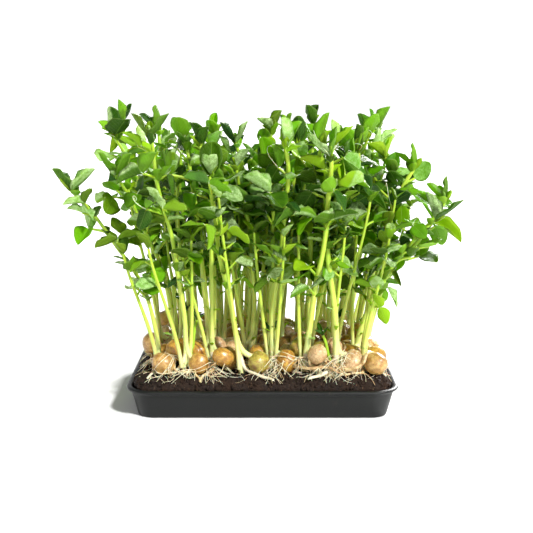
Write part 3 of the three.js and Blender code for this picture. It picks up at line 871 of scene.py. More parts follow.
# %% Grow the leaves between
FINE_CLEAR = dict(stem=1.7, leaf=1.5, own=1.3)
STAGES.update({
    5: ((0.86, 0.95), (8, 10.5), (4, 8), 67 * 5),
    6: ((0.66, 0.78), (8, 11), (5, 9), 67 * 6),
    7: ((0.74, 0.92), (7.5, 10.5), (4, 9), 67 * 7),
    8: ((0.56, 0.7), (7, 9.5), (4, 8), 67 * 8),
    9: ((0.32, 0.48), (6.5, 9), (4, 8), 67 * 9),
})
grow((5, 6, 7, 8, 9), FINE_CLEAR)
print("leaves with the fine ones:", sum(len(plant["leaves"]) for plant in plants))

# %% [markdown]
# A stem kinks a little at its nodes and swells there. It comes out of the top of its pea by a bent neck. A
# leaf ends in a tendril, which stays a short point on most leaves and winds into a coil on a few.

# %% Lines of a shoot
ANY_WAY = (0, 6.28)
KINK = 0.45


def spread_along(path, count):
    """Shares from 0 to 1, and the points of a Bezier curve there."""
    shares = np.linspace(0, 1, count)
    return shares, np.array([bezier(path, t) for t in shares])


def stem_radius(plant, t):
    return plant["radius"] * (1 - (1 - STEM_TIP_SHARE) * t)


def add_stem(lines, plant, draw):
    ts, points = spread_along(plant["path"], 26)
    sway = draw(*ANY_WAY)
    points[:, 0] += KINK * np.sin(ts * 15 + sway) * np.sqrt(ts)
    points[:, 1] += KINK * np.cos(ts * 12 + sway) * np.sqrt(ts)
    nodes = [leaf["at"] for leaf in plant["leaves"] if "at" in leaf]
    at_nodes = sum(np.exp(-(((ts - at) / 0.012) ** 2)) for at in nodes)
    swell = 1 + 0.22 * at_nodes + 0.25 * np.exp(-((ts / 0.05) ** 2))
    thick = np.array([stem_radius(plant, t) for t in ts]) * 0.92 * swell
    tip = points[-1] + unit(bezier_speed(plant["path"], 1)) * 0.9
    tone = draw(0, 1)
    lines.add([*points, tip], [*thick, 0.5], [(t, tone, 0) for t in [*ts, 1]])


def add_neck(lines, plant, draw):
    """The shoot comes out of the top of its pea and bends over and up into the stem."""
    radius, aside = plant["pea_radius"], -plant["to_pea"]
    start = plant["pea"] + aside * radius * 0.45 + point(0, 0, radius * 0.5)
    bend = start + aside * draw(1.6, 2.6) + point(0, 0, draw(-0.4, 1.6))
    join = draw(0.13, 0.2)
    path = [start, bend, bezier(plant["path"], join * 0.6), bezier(plant["path"], join)]
    ts, points = spread_along(path, 10)
    lines.add(points, stem_radius(plant, join) * (1.02 - 0.1 * ts), [(join * t, 0.3, 0) for t in ts])


def add_stalk(lines, leaf, draw):
    start, end = leaf["stalk"]
    ts = np.linspace(0, 1, 7)
    sag = draw(-0.05, 0.09) * np.linalg.norm(end - start)
    points = [start + (end - start) * t + point(0, 0, 4 * sag * t * (1 - t)) for t in ts]
    lines.add(points, 0.62 - 0.2 * ts, (0.8, draw(0, 1), 0))


def add_tendril(lines, start, direction, length, curls, draw):
    """A thin line that leaves straight and then winds into a coil."""
    side = unit(np.cross(direction, heading(draw(*ANY_WAY), 0.4)))
    steps = 26 if curls > 0.5 else 7
    at, points, angle = start.copy(), [start], 0.0
    for i in range(1, steps):
        share = i / steps
        angle += curls * 2 * math.pi * share**2 / (steps / 3)
        step = unit(direction) * math.cos(angle) + side * math.sin(angle) + np.cross(direction, side) * 0.1
        at = at + unit(step) * length / steps
        points.append(at)
    lines.add(points, np.linspace(0.17, 0.08, len(points)), (0.7, draw(0, 1), 1))


# %% [markdown]
# Most leaflets lie open, some fold along the rib like a half-shut book, and the tips curl down or up. The
# two small blades at each node stand off the stem, and the newest ones are a brighter yellow-green.

# %% Blades of a shoot
YOUNG_LEAVES = 0.14
WIDER = (1.04, 1.22)


def young_share(draw):
    """How young a leaf looks: a few are bright yellow-green."""
    return draw(0.6, 1.0) if draw(0, 1) < YOUNG_LEAVES else max(0.0, draw(-0.6, 0.32))


def add_blade(blades, leaflet, draw, youth, in_crown=False):
    """One leaflet of a leaf. In the crown it is still half folded."""
    tone = (draw(0, 1), youth, draw(*ANY_WAY))
    chance = draw(0, 1)
    fold = draw(4, 24) if chance < 0.5 else draw(28, 54) if chance < 0.82 else draw(56, 78)
    droop = draw(-0.3, 0.42)
    if in_crown:
        fold, droop = draw(22, 62), draw(-0.45, 0.05)
    habit = (droop, draw(-0.22, 0.22), draw(*ANY_WAY))
    base, along, face = leaflet["base"], leaflet["along"], leaflet["face"]
    blades.add(base, along, face, leaflet["length"], leaflet["width"] * draw(*WIDER), fold, habit, tone)


def add_clasping_pair(blades, plant, at, azimuth, length, share, spread, draw, youth):
    """Two small blades that stand off the stem at a node, one on either side."""
    centre = bezier(plant["path"], at)
    for side in (-1, 1):
        away = azimuth + side * math.radians(spread)
        out = heading(away)
        along = heading(away + side * 0.3, math.radians(draw(22, 62)))
        base = centre + out * stem_radius(plant, at) * 0.7
        tone = (draw(0, 1), youth, draw(*ANY_WAY))
        size = length * draw(0.85, 1.15)
        fold = draw(10, 40)
        habit = (draw(0, 0.35), 0.1, draw(0, 6))
        blades.add(base, along, point(0, 0, 1) - out * 0.6, size, size * share, fold, habit, tone)


# %% [markdown]
# Many peas send up a second, thinner shoot. It is tried to one side after the other until it finds room
# between the stems. Beside every fifth stem stands a young one, short and thick, with a fan of narrow
# leaflets.

# %% Second shoots
SIDE_TRIES = 30
SIDE_ROOM = 2.2

side_lines = []


def side_path(draw, plant, azimuth, rise):
    out_way = heading(azimuth)
    start = bezier(plant["path"], 0.05) + out_way * 1.6
    out = point(start[0] * 0.22, start[1] * 0.2, 0) + out_way * draw(2, 9)
    first = start + out_way * 2.5 + (0, 0, rise * 0.35)
    return [start, first, start + out * 0.8 + (0, 0, rise * 0.7), start + out + (0, 0, rise)]


def add_side_shoot(lines, blades, plant, draw):
    """A thinner second shoot from the same pea, with a crown pair and two stalked pairs."""
    others = [other["line"] for other in plants if other is not plant] + side_lines
    for _ in range(SIDE_TRIES):
        azimuth, rise = draw(0, 2 * math.pi), draw(48, 74)
        path = side_path(draw, plant, azimuth, rise)
        line = np.array([bezier(path, i / STEM_POINTS) for i in range(STEM_POINTS + 1)])
        near_others = near_stems(line[1:], others, SIDE_ROOM)
        if not near_others and not near_stems(line[4:], [plant["line"]], SIDE_ROOM):
            break
    else:
        return
    side_lines.append(line)
    ts, points = spread_along(path, 16)
    lines.add(points, 0.85 - 0.35 * ts, [(t, 0.8, 0) for t in ts])
    rising = unit(bezier_speed(path, 1))
    for i in range(2):
        way = heading(azimuth + math.pi * i)
        along = unit(rising + way * draw(0.5, 1.4))
        size, fold = draw(5.5, 9), draw(20, 50)
        habit = (draw(-0.1, 0.3), 0.1, draw(0, 6))
        tone = (draw(0, 1), draw(0, 0.7), draw(0, 6))
        blades.add(points[-1], along, rising - way * 0.5, size, size * 0.66, fold, habit, tone)
    for at in (0.62, 0.84):
        around = draw(0, 2 * math.pi)
        start = bezier(path, at)
        end = start + heading(around, math.radians(draw(15, 55))) * draw(3, 6)
        lines.add([start, (start + end) / 2 + (0, 0, 0.3), end], 0.42, (0.8, 0.5, 0))
        for side in (-1, 1):
            length, tilt = draw(5.5, 8.5), math.radians(draw(-30, 45))
            leaflet = leaflet_at(end, around + side * 1.1, tilt, side * draw(-0.2, 1.0), length)
            add_blade(blades, leaflet, draw, young_share(draw))


def add_low_shoot(lines, blades, plant, draw):
    """A short thick shoot by the foot of a stem, with a fan of narrow leaflets."""
    start = bezier(plant["path"], 0.06)
    azimuth = draw(0, 2 * math.pi)
    reach, rise = draw(4, 7), draw(11, 17)
    end = start + heading(azimuth) * reach + (0, 0, rise)
    path = [start, start + heading(azimuth) * reach * 0.9 + (0, 0, rise * 0.2), (start + end) / 2, end]
    ts, points = spread_along(path, 10)
    lines.add(points, 1.0 - 0.45 * ts, [(0.4 + 0.5 * t, 0.2, 0) for t in ts])
    rising = unit(bezier_speed(path, 1))
    for i in range(5):
        way = heading(azimuth + i * 1.26)
        along = unit(rising + way * draw(0.6, 1.3))
        size = draw(4, 6.5)
        habit = (draw(-0.1, 0.2), 0.1, draw(0, 6))
        tone = (draw(0, 0.3), 0.0, draw(0, 1.2))
        blades.add(end, along, rising - way * 0.5, size, size * 0.38, draw(15, 45), habit, tone)


# %% [markdown]
# A whole shoot is one piece: its stem, neck, second shoots, leaves, stipules and tendrils, joined. It
# replaces the plain solid of its plant.

# %% Whole shoots
SHOOT_STAGE = 11
CROWN_TENDRILS = 0.3
LONG_TENDRILS = 0.12
SCALE_LEAVES = 0.75


def add_leaves(lines, threads, blades, plant, draw):
    for leaf in plant["leaves"]:
        youth = young_share(draw)
        for leaflet in leaf["leaflets"]:
            add_blade(blades, leaflet, draw, youth, "stalk" not in leaf)
        if "stalk" not in leaf:
            continue
        add_stalk(lines, leaf, draw)
        clasp = leaf["at"] - 0.006
        add_clasping_pair(blades, plant, clasp, leaf["azimuth"], draw(5, 8), 0.6, 62, draw, youth)
        start, end = leaf["stalk"]
        long_one = draw(0, 1) < LONG_TENDRILS
        length = draw(9, 16) if long_one else draw(1.5, 3)
        curls = draw(0.6, 2) if long_one else 0.1
        add_tendril(threads, end, unit(end - start) + point(0, 0, 0.3), length, curls, draw)


def add_bud(blades, plant, tip, rising, draw):
    """The folded blades at the tip, and the scale leaves at the two lowest nodes."""
    for i in range(2):
        azimuth = plant["turn"] + math.pi / 2 + i * math.pi
        along = unit(rising * 1.3 + heading(azimuth) * draw(0.3, 0.9))
        size, fold = draw(5, 7.5), draw(45, 70)
        habit = (draw(-0.2, 0.3), 0.1, draw(0, 6))
        tone = (draw(0, 1), draw(0.3, 0.9), draw(0, 6))
        blades.add(tip, along, heading(azimuth + math.pi), size, size * 0.7, fold, habit, tone)
    add_clasping_pair(blades, plant, 0.985, plant["turn"], draw(5, 7.5), 0.62, 80, draw, draw(0, 0.6))
    for place in (draw(0.12, 0.2), draw(0.24, 0.34)):
        if draw(0, 1) < SCALE_LEAVES:
            add_clasping_pair(blades, plant, place, draw(*ANY_WAY), draw(2.4, 4.2), 0.55, 70, draw, 0.85)


def grow_shoot(plant):
    index, tip = plant["index"], plant["path"][3]
    draw = Draws(index, SHOOT_STAGE)
    lines, threads, blades = Lines(), Lines(), Blades()
    add_stem(lines, plant, draw)
    add_neck(lines, plant, draw)
    for _ in range(2 if index % 3 else 1):
        add_side_shoot(lines, blades, plant, draw)
    if index % 5 == 1:
        add_low_shoot(lines, blades, plant, draw)
    rising = unit(bezier_speed(plant["path"], 1))
    if draw(0, 1) < CROWN_TENDRILS:
        sideways = unit(rising * 0.6 + heading(draw(*ANY_WAY)))
        add_tendril(threads, tip, sideways, draw(9, 15), draw(0.55, 1.1), draw)
    add_leaves(lines, threads, blades, plant, draw)
    add_bud(blades, plant, tip, rising, draw)
    number = f"{index + 1:02d}"
    green = blades.made("blades_" + number)
    stems = lines.made("stems_" + number, 8, stem_green)
    tendrils = threads.made("threads_" + number, 4, stem_green)
    return joined("shoot_" + number, green, stems, tendrils)


shoots = [grow_shoot(plant) for plant in plants]
print("shoots:", len(shoots), "triangles:", sum(count_triangles(shoot) for shoot in shoots))
for plant, shoot in zip(plants, shoots):
    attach(shoot, "root")
    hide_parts(f"plant_{plant['index'] + 1:02d}")

# %% [markdown]
# ## Peas
# The seed is still there at the foot of each shoot: soaked, swollen, tan to golden, often split along the
# seam between its halves. A round mesh with even faces is bent by noise, so that no two peas are alike.

# %% The pea maker
PEA_CUTS = 9
PEA_OVAL = (1.11, 0.98, 0.91)
SPREAD_OUT = 0.785  # a quarter turn over two, for faces of even size from a cube
SEAM_WIDTH = 0.075

pea_maker = Maker("Peas", Finish="Material", Dent="Float", Wrinkle="Float", Seam="Float")
cuts = dict(Vertices_X=PEA_CUTS, Vertices_Y=PEA_CUTS, Vertices_Z=PEA_CUTS)
ball = pea_maker.node("GeometryNodeMeshCube", Size=(2.0, 2.0, 2.0), **cuts)
bulged = join_vector(*[(part * SPREAD_OUT).math("TANGENT") for part in pea_maker.position().parts()])
ball = pea_maker.node("GeometryNodeSetPosition", Geometry=ball, Position=bulged.vector("NORMALIZE"))
ball = pea_maker.node("GeometryNodeMergeByDistance", Geometry=ball, Distance=0.0001)
ball = pea_maker.store(ball, "ball", pea_maker.position())
peas = pea_maker.placed(ball, "centre")

direction = pea_maker.named("ball")
chance, split, wrinkled = pea_maker.named("seed").parts()
shifted = direction.vector("ADD", join_vector(chance * 40.0, chance * 17.0, 0.0))
dents = pea_maker.node("ShaderNodeTexNoise", Vector=shifted, Scale=1.5, Detail=1.0)
creases = pea_maker.node("ShaderNodeTexNoise", Vector=shifted, Scale=6.0, Detail=3.0)
ball_x, _, ball_z = direction.parts()
seam_gap = (ball_z + (ball_x * 3.0 + chance * 6.0).math("SINE") * 0.04) / SEAM_WIDTH
seam = (seam_gap * seam_gap * -1.0).math("EXPONENT") * split
scar = ((ball_x - 0.97) * 9.0).math("MAXIMUM", -1.0) + 1.0
swollen = (
    1.0
    + (dents - 0.5) * pea_maker.input("Dent")
    + (creases - 0.5) * pea_maker.input("Wrinkle") * (0.25 + wrinkled)
    - seam * pea_maker.input("Seam")
    - scar * 0.02
)
place = pea_maker.node(
    "ShaderNodeVectorRotate",
    settings={"rotation_type": "EULER_XYZ"},
    Vector=direction.vector("MULTIPLY", PEA_OVAL).scaled(swollen),
    Rotation=pea_maker.named("turn"),
)
place = place.scaled(pea_maker.named("radius", "FLOAT")).vector("ADD", pea_maker.named("centre"))
peas = pea_maker.node("GeometryNodeSetPosition", Geometry=peas, Position=place)
pea_maker.finish(peas, ("Finish", True))

# %% [markdown]
# The seed coat is thin and damp. Under it the pea is yellow, so the colour runs from cream and pinkish tan
# to gold and yellow-green, with brown blotches, a dark scar where it hung in the pod, and a darker open
# seam.

# %% Seed coat
# The chance from which each kind of coat begins, and its dark and its light colour: tan, gold, pink and
# green.
COATS = (
    (None, (0.33, 0.17, 0.032), (0.57, 0.36, 0.115)),
    ((0.3, 0.36), (0.31, 0.14, 0.013), (0.54, 0.31, 0.04)),
    ((0.6, 0.66), (0.44, 0.27, 0.12), (0.67, 0.48, 0.25)),
    ((0.88, 0.92), (0.25, 0.2, 0.022), (0.45, 0.38, 0.065)),
)


def seed_coat():
    damp = dict(Subsurface_Weight=0.15, Subsurface_Scale=0.0015, Coat_Weight=0.25, Coat_Roughness=0.2)
    paint = Paint("seed_coat", 0.34, **damp)
    place = paint.attribute("ball")
    chance, split, _ = paint.attribute("seed").parts()
    x, _, z = place.parts()
    spot_place = place.vector("ADD", join_vector(chance * 40.0, 0.0, chance * 9.0))
    patch = paint.noise(1.6, 3.0, 0.6, where=spot_place)
    fine = paint.noise(9.0, 4.0, 0.65, where=spot_place)
    colour = None
    for begins, dark, light in COATS:
        coat = paint.mix(patch.between(0.35, 0.65), dark, light)
        colour = paint.mix(chance.between(*begins), colour, coat) if begins else coat
    blotch = paint.noise(3.4, 4.0, 0.62, where=spot_place)
    colour = paint.mix(blotch.between(0.5, 0.64) * 0.55, colour, (0.24, 0.1, 0.022))
    colour = paint.mix(fine.between(0.52, 0.68) * 0.6, colour, (0.2, 0.085, 0.02))
    colour = paint.mix(fine.between(0.25, 0.45, 1.0, 0.0) * 0.3, colour, (0.82, 0.66, 0.4))
    gap = (z + (x * 3.0 + chance * 6.0).math("SINE") * 0.04).math("ABSOLUTE")
    colour = paint.mix(gap.between(0.03, 0.1, 1.0, 0.0) * split * 0.85, colour, (0.14, 0.06, 0.02))
    colour = paint.mix(x.between(0.93, 0.985) * 0.7, colour, (0.2, 0.1, 0.04))
    height = fine + paint.noise(30.0, 3.0, where=spot_place) * 0.4
    return paint.done(colour, (height, 0.0002, 0.5), fine.between(0.3, 0.7, 0.26, 0.48))


# %% [markdown]
# Some peas lie on top of the others. Each one is let down over the bed until it touches the soil or the
# peas below, and it stays only where it keeps clear of the stems.

# %% Let more peas down on the bed
LOOSE_PEAS = 34
LOOSE_TRIES = 4000
TRIES_AT_FRONT = 500
LOOSE_RADIUS = (3.9, 4.6)
HIGHEST_REST = 8.5
SPLIT_PEAS = 0.4

bed_peas = [(plant["pea"], plant["pea_radius"]) for plant in plants]
stem_lines = [plant["line"] for plant in plants]


def rest_height(x, y, radius):
    """Height of a pea's centre when it is let down at a place."""
    height = SOIL_TOP + GAP + PEA_FLAT * radius
    for centre, other in bed_peas:
        reach = (radius + other) * 0.96
        apart = math.hypot(centre[0] - x, centre[1] - y)
        if apart < reach:
            height = max(height, centre[2] + math.sqrt(reach**2 - apart**2) * PEA_FLAT)
    return height


def let_down(count):
    draw = Draws(900, 0)
    for attempt in range(LOOSE_TRIES):
        radius = draw(*LOOSE_RADIUS)
        x, y = draw(-46, 46), draw(-37, -24 if attempt < TRIES_AT_FRONT else 37)
        centre = point(x, y, rest_height(x, y, radius))
        if centre[2] > SOIL_TOP + HIGHEST_REST or near_stems([centre], stem_lines, radius + 1.5):
            continue
        bed_peas.append((centre, radius))
        count -= 1
        if count == 0:
            break


def make_peas():
    draw = Draws(901, 0)
    rows = dict(points=[], radius=[], turn=[], seed=[])
    for centre, radius in bed_peas:
        turn = [draw(0, 2 * math.pi) for _ in range(3)]
        seed = (draw(0, 1), 1.0 if draw(0, 1) < SPLIT_PEAS else draw(0, 0.25), draw(0, 1))
        for row, value in zip(rows.values(), (centre, radius * MM, turn, seed)):
            row.append(value)
    return pea_maker.run("peas", bare_mesh(**rows), Finish=seed_coat(), Dent=0.24, Wrinkle=0.12, Seam=0.14)


let_down(LOOSE_PEAS)
peas_piece = make_peas()
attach(peas_piece, "root")
print("peas on the bed:", len(bed_peas), "triangles:", count_triangles(peas_piece))

# %% [markdown]
# ## Soil
# The soil fills the tray and rounds over at its edge. Its top is dark, damp and crumbly. A sheet of small
# faces is drawn to the tray's round corners and raised by noise, and closed below by two more rings and a
# floor.

# %% Shape of the ground
SOIL_CELLS = (150, 126)
SHOULDER = (1.2, 4.2)  # how far inside the level top the slope begins, and how wide it is
SKIRT = (3.0, 8.5)  # how far the two rings under the edge lie below it


def outside_level(x, y):
    """How far a place lies outside the level top, in millimetres."""
    dx = abs(x) - (SOIL_LEVEL[0] - SOIL_CORNER)
    dy = abs(y) - (SOIL_LEVEL[1] - SOIL_CORNER)
    return math.hypot(max(dx, 0), max(dy, 0)) + min(max(dx, dy), 0) - SOIL_CORNER


def ground(x, y):
    """Height of the soil's surface at a place."""
    fall = max(0.0, min(1.0, (outside_level(x, y) + SHOULDER[0]) / SHOULDER[1]))
    lumps = noise.fractal(Vector((x * 0.11, y * 0.11, 3.0)), 0.9, 2.0, 4) * 0.55
    crumbs = noise.fractal(Vector((x * 0.55, y * 0.55, 9.0)), 0.8, 2.0, 4) * 0.38
    return SOIL_TOP - (SOIL_TOP - SOIL_EDGE) * fall**1.6 + lumps + crumbs - 0.25


def in_mouth(x, y, half):
    """The place in the tray's mouth of a point of a square from -1 to 1, drawn in at the round corners."""
    s = max(abs(x), abs(y), 1e-9)
    px, py = abs(x) * half[0] / s, abs(y) * half[1] / s
    cx, cy = half[0] - TRAY_CORNER, half[1] - TRAY_CORNER
    pull = 1.0
    if px > cx and py > cy:
        pull = (cx + (px - cx) * TRAY_CORNER / math.hypot(px - cx, py - cy)) / px
    pull = 1 - (1 - pull) * s**4
    return x * half[0] * pull, y * half[1] * pull


def make_soil():
    nx, ny = SOIL_CELLS
    half = (TRAY_MOUTH[0] - GAP, TRAY_MOUTH[1] - GAP)
    grid = [in_mouth(2 * i / nx - 1, 2 * j / ny - 1, half) for j in range(ny + 1) for i in range(nx + 1)]
    points = [(*at, ground(*at)) for at in grid]
    row = nx + 1
    firsts = [j * row + i for j in range(ny) for i in range(nx)]
    faces = [(a, a + 1, a + 1 + row, a + row) for a in firsts]
    edge = [i for i in range(row)] + [j * row + nx for j in range(1, ny + 1)]
    edge += [ny * row + i for i in range(nx - 1, -1, -1)] + [j * row for j in range(ny - 1, 0, -1)]
    for drop in SKIRT:
        ring = [len(points) + k for k in range(len(edge))]
        share = 1 - TRAY_TAPER * drop / TRAY_HEIGHT / half[0]
        points += [(points[v][0] * share, points[v][1] * share, SOIL_EDGE - drop) for v in edge]
        faces += [(edge[k - 1], ring[k - 1], ring[k], edge[k]) for k in [*range(1, len(edge)), 0]]
        edge = ring
    faces.append(tuple(reversed(edge)))
    return shell("soil_bed", points, faces)


# %% [markdown]
# Potting soil is almost black when it is wet, with brown grains and a few pale fibres. The grain is in the
# bump as well, and the damp shows as patches that are less rough.

# %% Soil finish
def soil_finish():
    paint = Paint("soil_dark", 0.85, Specular_IOR_Level=0.2)
    grain = paint.noise(900.0, 5.0, 0.7)
    clump = paint.noise(160.0, 3.0)
    lit = (grain * 0.7 + clump * 0.5).between(0.35, 0.85)
    colour = paint.mix(lit, (0.004, 0.002, 0.0013), (0.034, 0.018, 0.0105))
    fibre = paint.streaks((1500.0, 260.0, 900.0), turned=(0.3, 0.2, 0.7)).between(0.64, 0.72)
    colour = paint.mix(fibre * 0.5, colour, (0.16, 0.09, 0.045))
    height = grain + paint.cells(700.0) * 0.8
    return paint.done(colour, (height, 0.0006, 0.9), clump.between(0.3, 0.7, 0.55, 0.95))


soil_paint = soil_finish()
soil_piece = make_soil()
soil_piece.data.materials.append(soil_paint)
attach(soil_piece, "root")
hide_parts("soil")
print("soil:", count_triangles(soil_piece), "triangles")

# %% [markdown]
# Crumbs are what makes soil look loose. One lump of twenty faces is strewn over the faces that look
# upwards, each time turned and scaled at random.

# %% Strew crumbs
CRUMBS = dict(Density=420000.0, Smallest=0.0003, Largest=0.0012, Seed=7)
LOOKS_UP = 0.25

crumb_maker = Maker(
    "Crumbs", Finish="Material", Density="Float", Smallest="Float", Largest="Float", Seed="Int"
)
_, _, upwards = crumb_maker.node("GeometryNodeInputNormal").parts()
crumb_points = crumb_maker.node(
    "GeometryNodeDistributePointsOnFaces",
    Mesh=crumb_maker.geometry,
    Selection=upwards.math("GREATER_THAN", LOOKS_UP),
    Density=crumb_maker.input("Density"),
    Seed=crumb_maker.input("Seed"),
)
crumb = crumb_maker.node("GeometryNodeMeshIcoSphere", Radius=1.0, Subdivisions=1)
lump = crumb_maker.node("ShaderNodeTexNoise", Vector=crumb_maker.position(), Scale=1.3)
shape = crumb_maker.position().scaled(0.5 + lump)
crumb = crumb_maker.node("GeometryNodeSetPosition", Geometry=crumb, Position=shape)
limits = dict(Min=crumb_maker.input("Smallest"), Max=crumb_maker.input("Largest"))
crumb_size = crumb_maker.node("FunctionNodeRandomValue", 1, {"data_type": "FLOAT"}, **limits)
any_turn = dict(Max=(6.28, 6.28, 6.28))
crumbs = crumb_maker.node(
    "GeometryNodeInstanceOnPoints",
    Points=crumb_points,
    Instance=crumb,
    Rotation=crumb_maker.node("FunctionNodeRandomValue", 0, {"data_type": "FLOAT_VECTOR"}, **any_turn),
    Scale=join_vector(crumb_size, crumb_size * 0.8, crumb_size * 0.65),
)
crumb_maker.finish(crumbs, ("Finish", True))
crumb_piece = crumb_maker.run("soil_crumbs", soil_piece.data.copy(), Finish=soil_paint, **CRUMBS)
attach(crumb_piece, "root")
print("crumbs:", count_triangles(crumb_piece), "triangles")

# %% [markdown]
# ## Roots
# Roots leave the peas as thick cream cords, run over the soil between the peas and hang over its edge,
# where they branch into fine ones. Each is a line that walks over the ground and is pushed aside by the
# peas.

# %% How roots lie
ROOT_LIMIT = (SOIL_LEVEL[0] + 1.4, SOIL_LEVEL[1] + 2.0)
ROOT_GAP = 0.32
ROOT_STEP = 0.8

pea_centres = np.array([centre for centre, _ in bed_peas])
pea_radii = np.array([radius for _, radius in bed_peas])


def laid(points, thick):
    """Lifts a line off the ground and out of the peas that it would run through, and smooths it."""
    points = np.array(points, float)
    for _ in range(4):
        for at in points[1:-1]:
            away = at - pea_centres
            near = np.linalg.norm(away, axis=1)
            deep = pea_radii * 0.97 + thick - near
            first = int(deep.argmax())
            if deep[first] > 0:
                at += away[first] / max(near[first], 0.01) * deep[first]
            for axis, limit in enumerate(ROOT_LIMIT):
                at[axis] = max(-limit, min(limit, at[axis]))
            at[2] = max(at[2], ground(at[0], at[1]) + thick * 0.6 + ROOT_GAP)
        points[1:-1] = (points[:-2] + 2 * points[1:-1] + points[2:]) / 4
    return points


def add_root(lines, draw, points, thick, tip_share, paleness=0.0):
    shares = np.linspace(0, 1, len(points))
    bumps = np.array([draw(0.85, 1.15) for _ in points])
    lines.add(points, thick * (1 - (1 - tip_share) * shares) * bumps, (thick, draw(0, 1), paleness))


def outward_azimuth(at):
    """The way out of the bed from a place near its edge."""
    to_end, to_front = SOIL_LEVEL[0] - abs(at[0]), SOIL_LEVEL[1] - abs(at[1])
    if to_end < to_front:
        return 0.0 if at[0] > 0 else math.pi
    return math.copysign(math.pi / 2, at[1])


def tap_root(draw, plant):
    """The pale root that goes on from the foot of a stem and bends over to lie along the soil."""
    foot = bezier(plant["path"], 0.03)
    way = heading(outward_azimuth(foot) + draw(0.3, 1.5) * (-1 if draw(0, 1) < 0.5 else 1))
    length = draw(8, 16)
    path = [bezier(plant["path"], 0.1), foot, foot + way * length * 0.5, foot + way * length]
    return laid(spread_along(path, 18)[1], plant["radius"] * 0.7)


def cord_between(draw, start, end, outwards, thick):
    """A thick root from one place to another that sags to the soil and swings outwards on its way."""
    middle = (start + end) / 2
    swing = unit(point(middle[0] / SOIL_LEVEL[0], middle[1] / SOIL_LEVEL[1], 0)) * outwards
    first = start * 0.7 + end * 0.3 + swing * draw(0.2, 1.6) + point(0, 0, draw(-12, 5))
    last = start * 0.3 + end * 0.7 + swing * draw(0.2, 1.6) + point(0, 0, draw(-12, 5))
    wave = draw(*ANY_WAY)
    ts, points = spread_along([start, first, last, end], 26)
    wobbles = [heading(wave + t * 11, math.sin(wave * 3 + t * 8)) * 1.5 * math.sin(t * math.pi) for t in ts]
    return laid(points + wobbles, thick)


def falling_root(draw, start, azimuth, length, thick):
    """A fine root that drops from a start, meets the soil and runs on outwards over it."""
    at, pace = start.copy(), heading(azimuth, draw(-0.3, 0.5))
    points, turning = [start], 0.0
    for _ in range(int(length / ROOT_STEP)):
        turning = turning * 0.6 + draw(-0.3, 0.3)
        azimuth += turning
        pace = unit(pace + heading(azimuth) * 0.35 - point(0, 0, 0.3))
        at = at + pace * ROOT_STEP
        low = ground(at[0], at[1]) + thick
        if at[2] < low:
            at[2] = low
            pace[2] = 0.05
        if abs(at[0]) > ROOT_LIMIT[0] + 0.6 or abs(at[1]) > ROOT_LIMIT[1] + 0.6:
            break
        points.append(at.copy())
    return laid(points, thick) if len(points) > 3 else []


# %% [markdown]
# Cords join pairs of peas, most of them at the bed's edge, and fine roots fall from them. More fine roots
# come from the foot of each stem and stand in a few tufts, where a real bed shows them matted.

# %% Grow the roots
EDGE_CORDS = 44
INNER_CORDS = 34
CORD_REACH = (10, 27)
CORD_THICKNESS = (0.26, 1.25)
FEW_THICK = 2.2  # the power that makes most cords thin
FINE_THICKNESS = (0.1, 0.24)
TUFTS = ((31, -34.5, 9, 46), (-20, -34, 6, 16), (6, -35, 6, 16), (-38, 34, 6, 18), (22, 35, 7, 24))


def pick_pair(draw, at_edge):
    """Two peas that a cord can join, at the edge of the bed or anywhere in it."""
    while True:
        one, two = int(draw(0, len(bed_peas))), int(draw(0, len(bed_peas)))
        apart = np.linalg.norm(pea_centres[one] - pea_centres[two])
        ends = [outside_level(*pea_centres[i][:2]) for i in (one, two)]
        if CORD_REACH[0] < apart < CORD_REACH[1] and (not at_edge or min(ends) > -11):
            return one, two


def add_fine_root(threads, draw, start, way, lengths, stray=None):
    thick = draw(*FINE_THICKNESS)
    azimuth = way + draw(-stray, stray) if stray else way
    points = falling_root(draw, start, azimuth, draw(*lengths), thick)
    if len(points):
        add_root(threads, draw, points, thick, 0.4)


def add_cord(cords, threads, draw, at_edge):
    """A cord between two peas, with fine roots at one or two places on it."""
    pair = pick_pair(draw, at_edge)
    thick = CORD_THICKNESS[0] + (CORD_THICKNESS[1] - CORD_THICKNESS[0]) * draw(0, 1) ** FEW_THICK
    start, end = (pea_centres[k] + heading(draw(*ANY_WAY), -0.4) * pea_radii[k] * 0.8 for k in pair)
    points = cord_between(draw, start, end, draw(2, 9) if at_edge else draw(-3, 3), thick)
    add_root(cords, draw, points, thick, 0.45)
    for _ in range(2 if at_edge else 1):
        root = points[int(draw(4, len(points) - 4))]
        way = outward_azimuth(root) if at_edge else draw(*ANY_WAY)
        for _ in range(4):
            add_fine_root(threads, draw, root, way, (5, 13), 1.1)


def grow_roots():
    draw = Draws(902, 0)
    cords, threads = Lines(), Lines()
    for i in range(EDGE_CORDS + INNER_CORDS):
        add_cord(cords, threads, draw, i < EDGE_CORDS)
    for plant in plants:
        tap = tap_root(draw, plant)
        add_root(cords, draw, tap, plant["radius"] * 0.92, 0.38, 0.75)
        for _ in range(6 if outside_level(*plant["line"][0][:2]) > -12 else 2):
            root = tap[int(draw(5, len(tap) - 2))]
            add_fine_root(threads, draw, root, outward_azimuth(root), (5, 12), 1.3)
    for x, y, height, count in TUFTS:
        for _ in range(count):
            start = point(x, y, SOIL_TOP + draw(0.4, 1) * height) + heading(draw(*ANY_WAY)) * draw(0, 4)
            add_fine_root(threads, draw, start, outward_azimuth(start) + draw(-2, 2), (8, 17))
    thick_ones = cords.made("roots_thick", 7, root_cream)
    return joined("roots", thick_ones, threads.made("roots_fine", 4, root_cream))


roots_piece = grow_roots()
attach(roots_piece, "root")
print("roots:", count_triangles(roots_piece), "triangles")

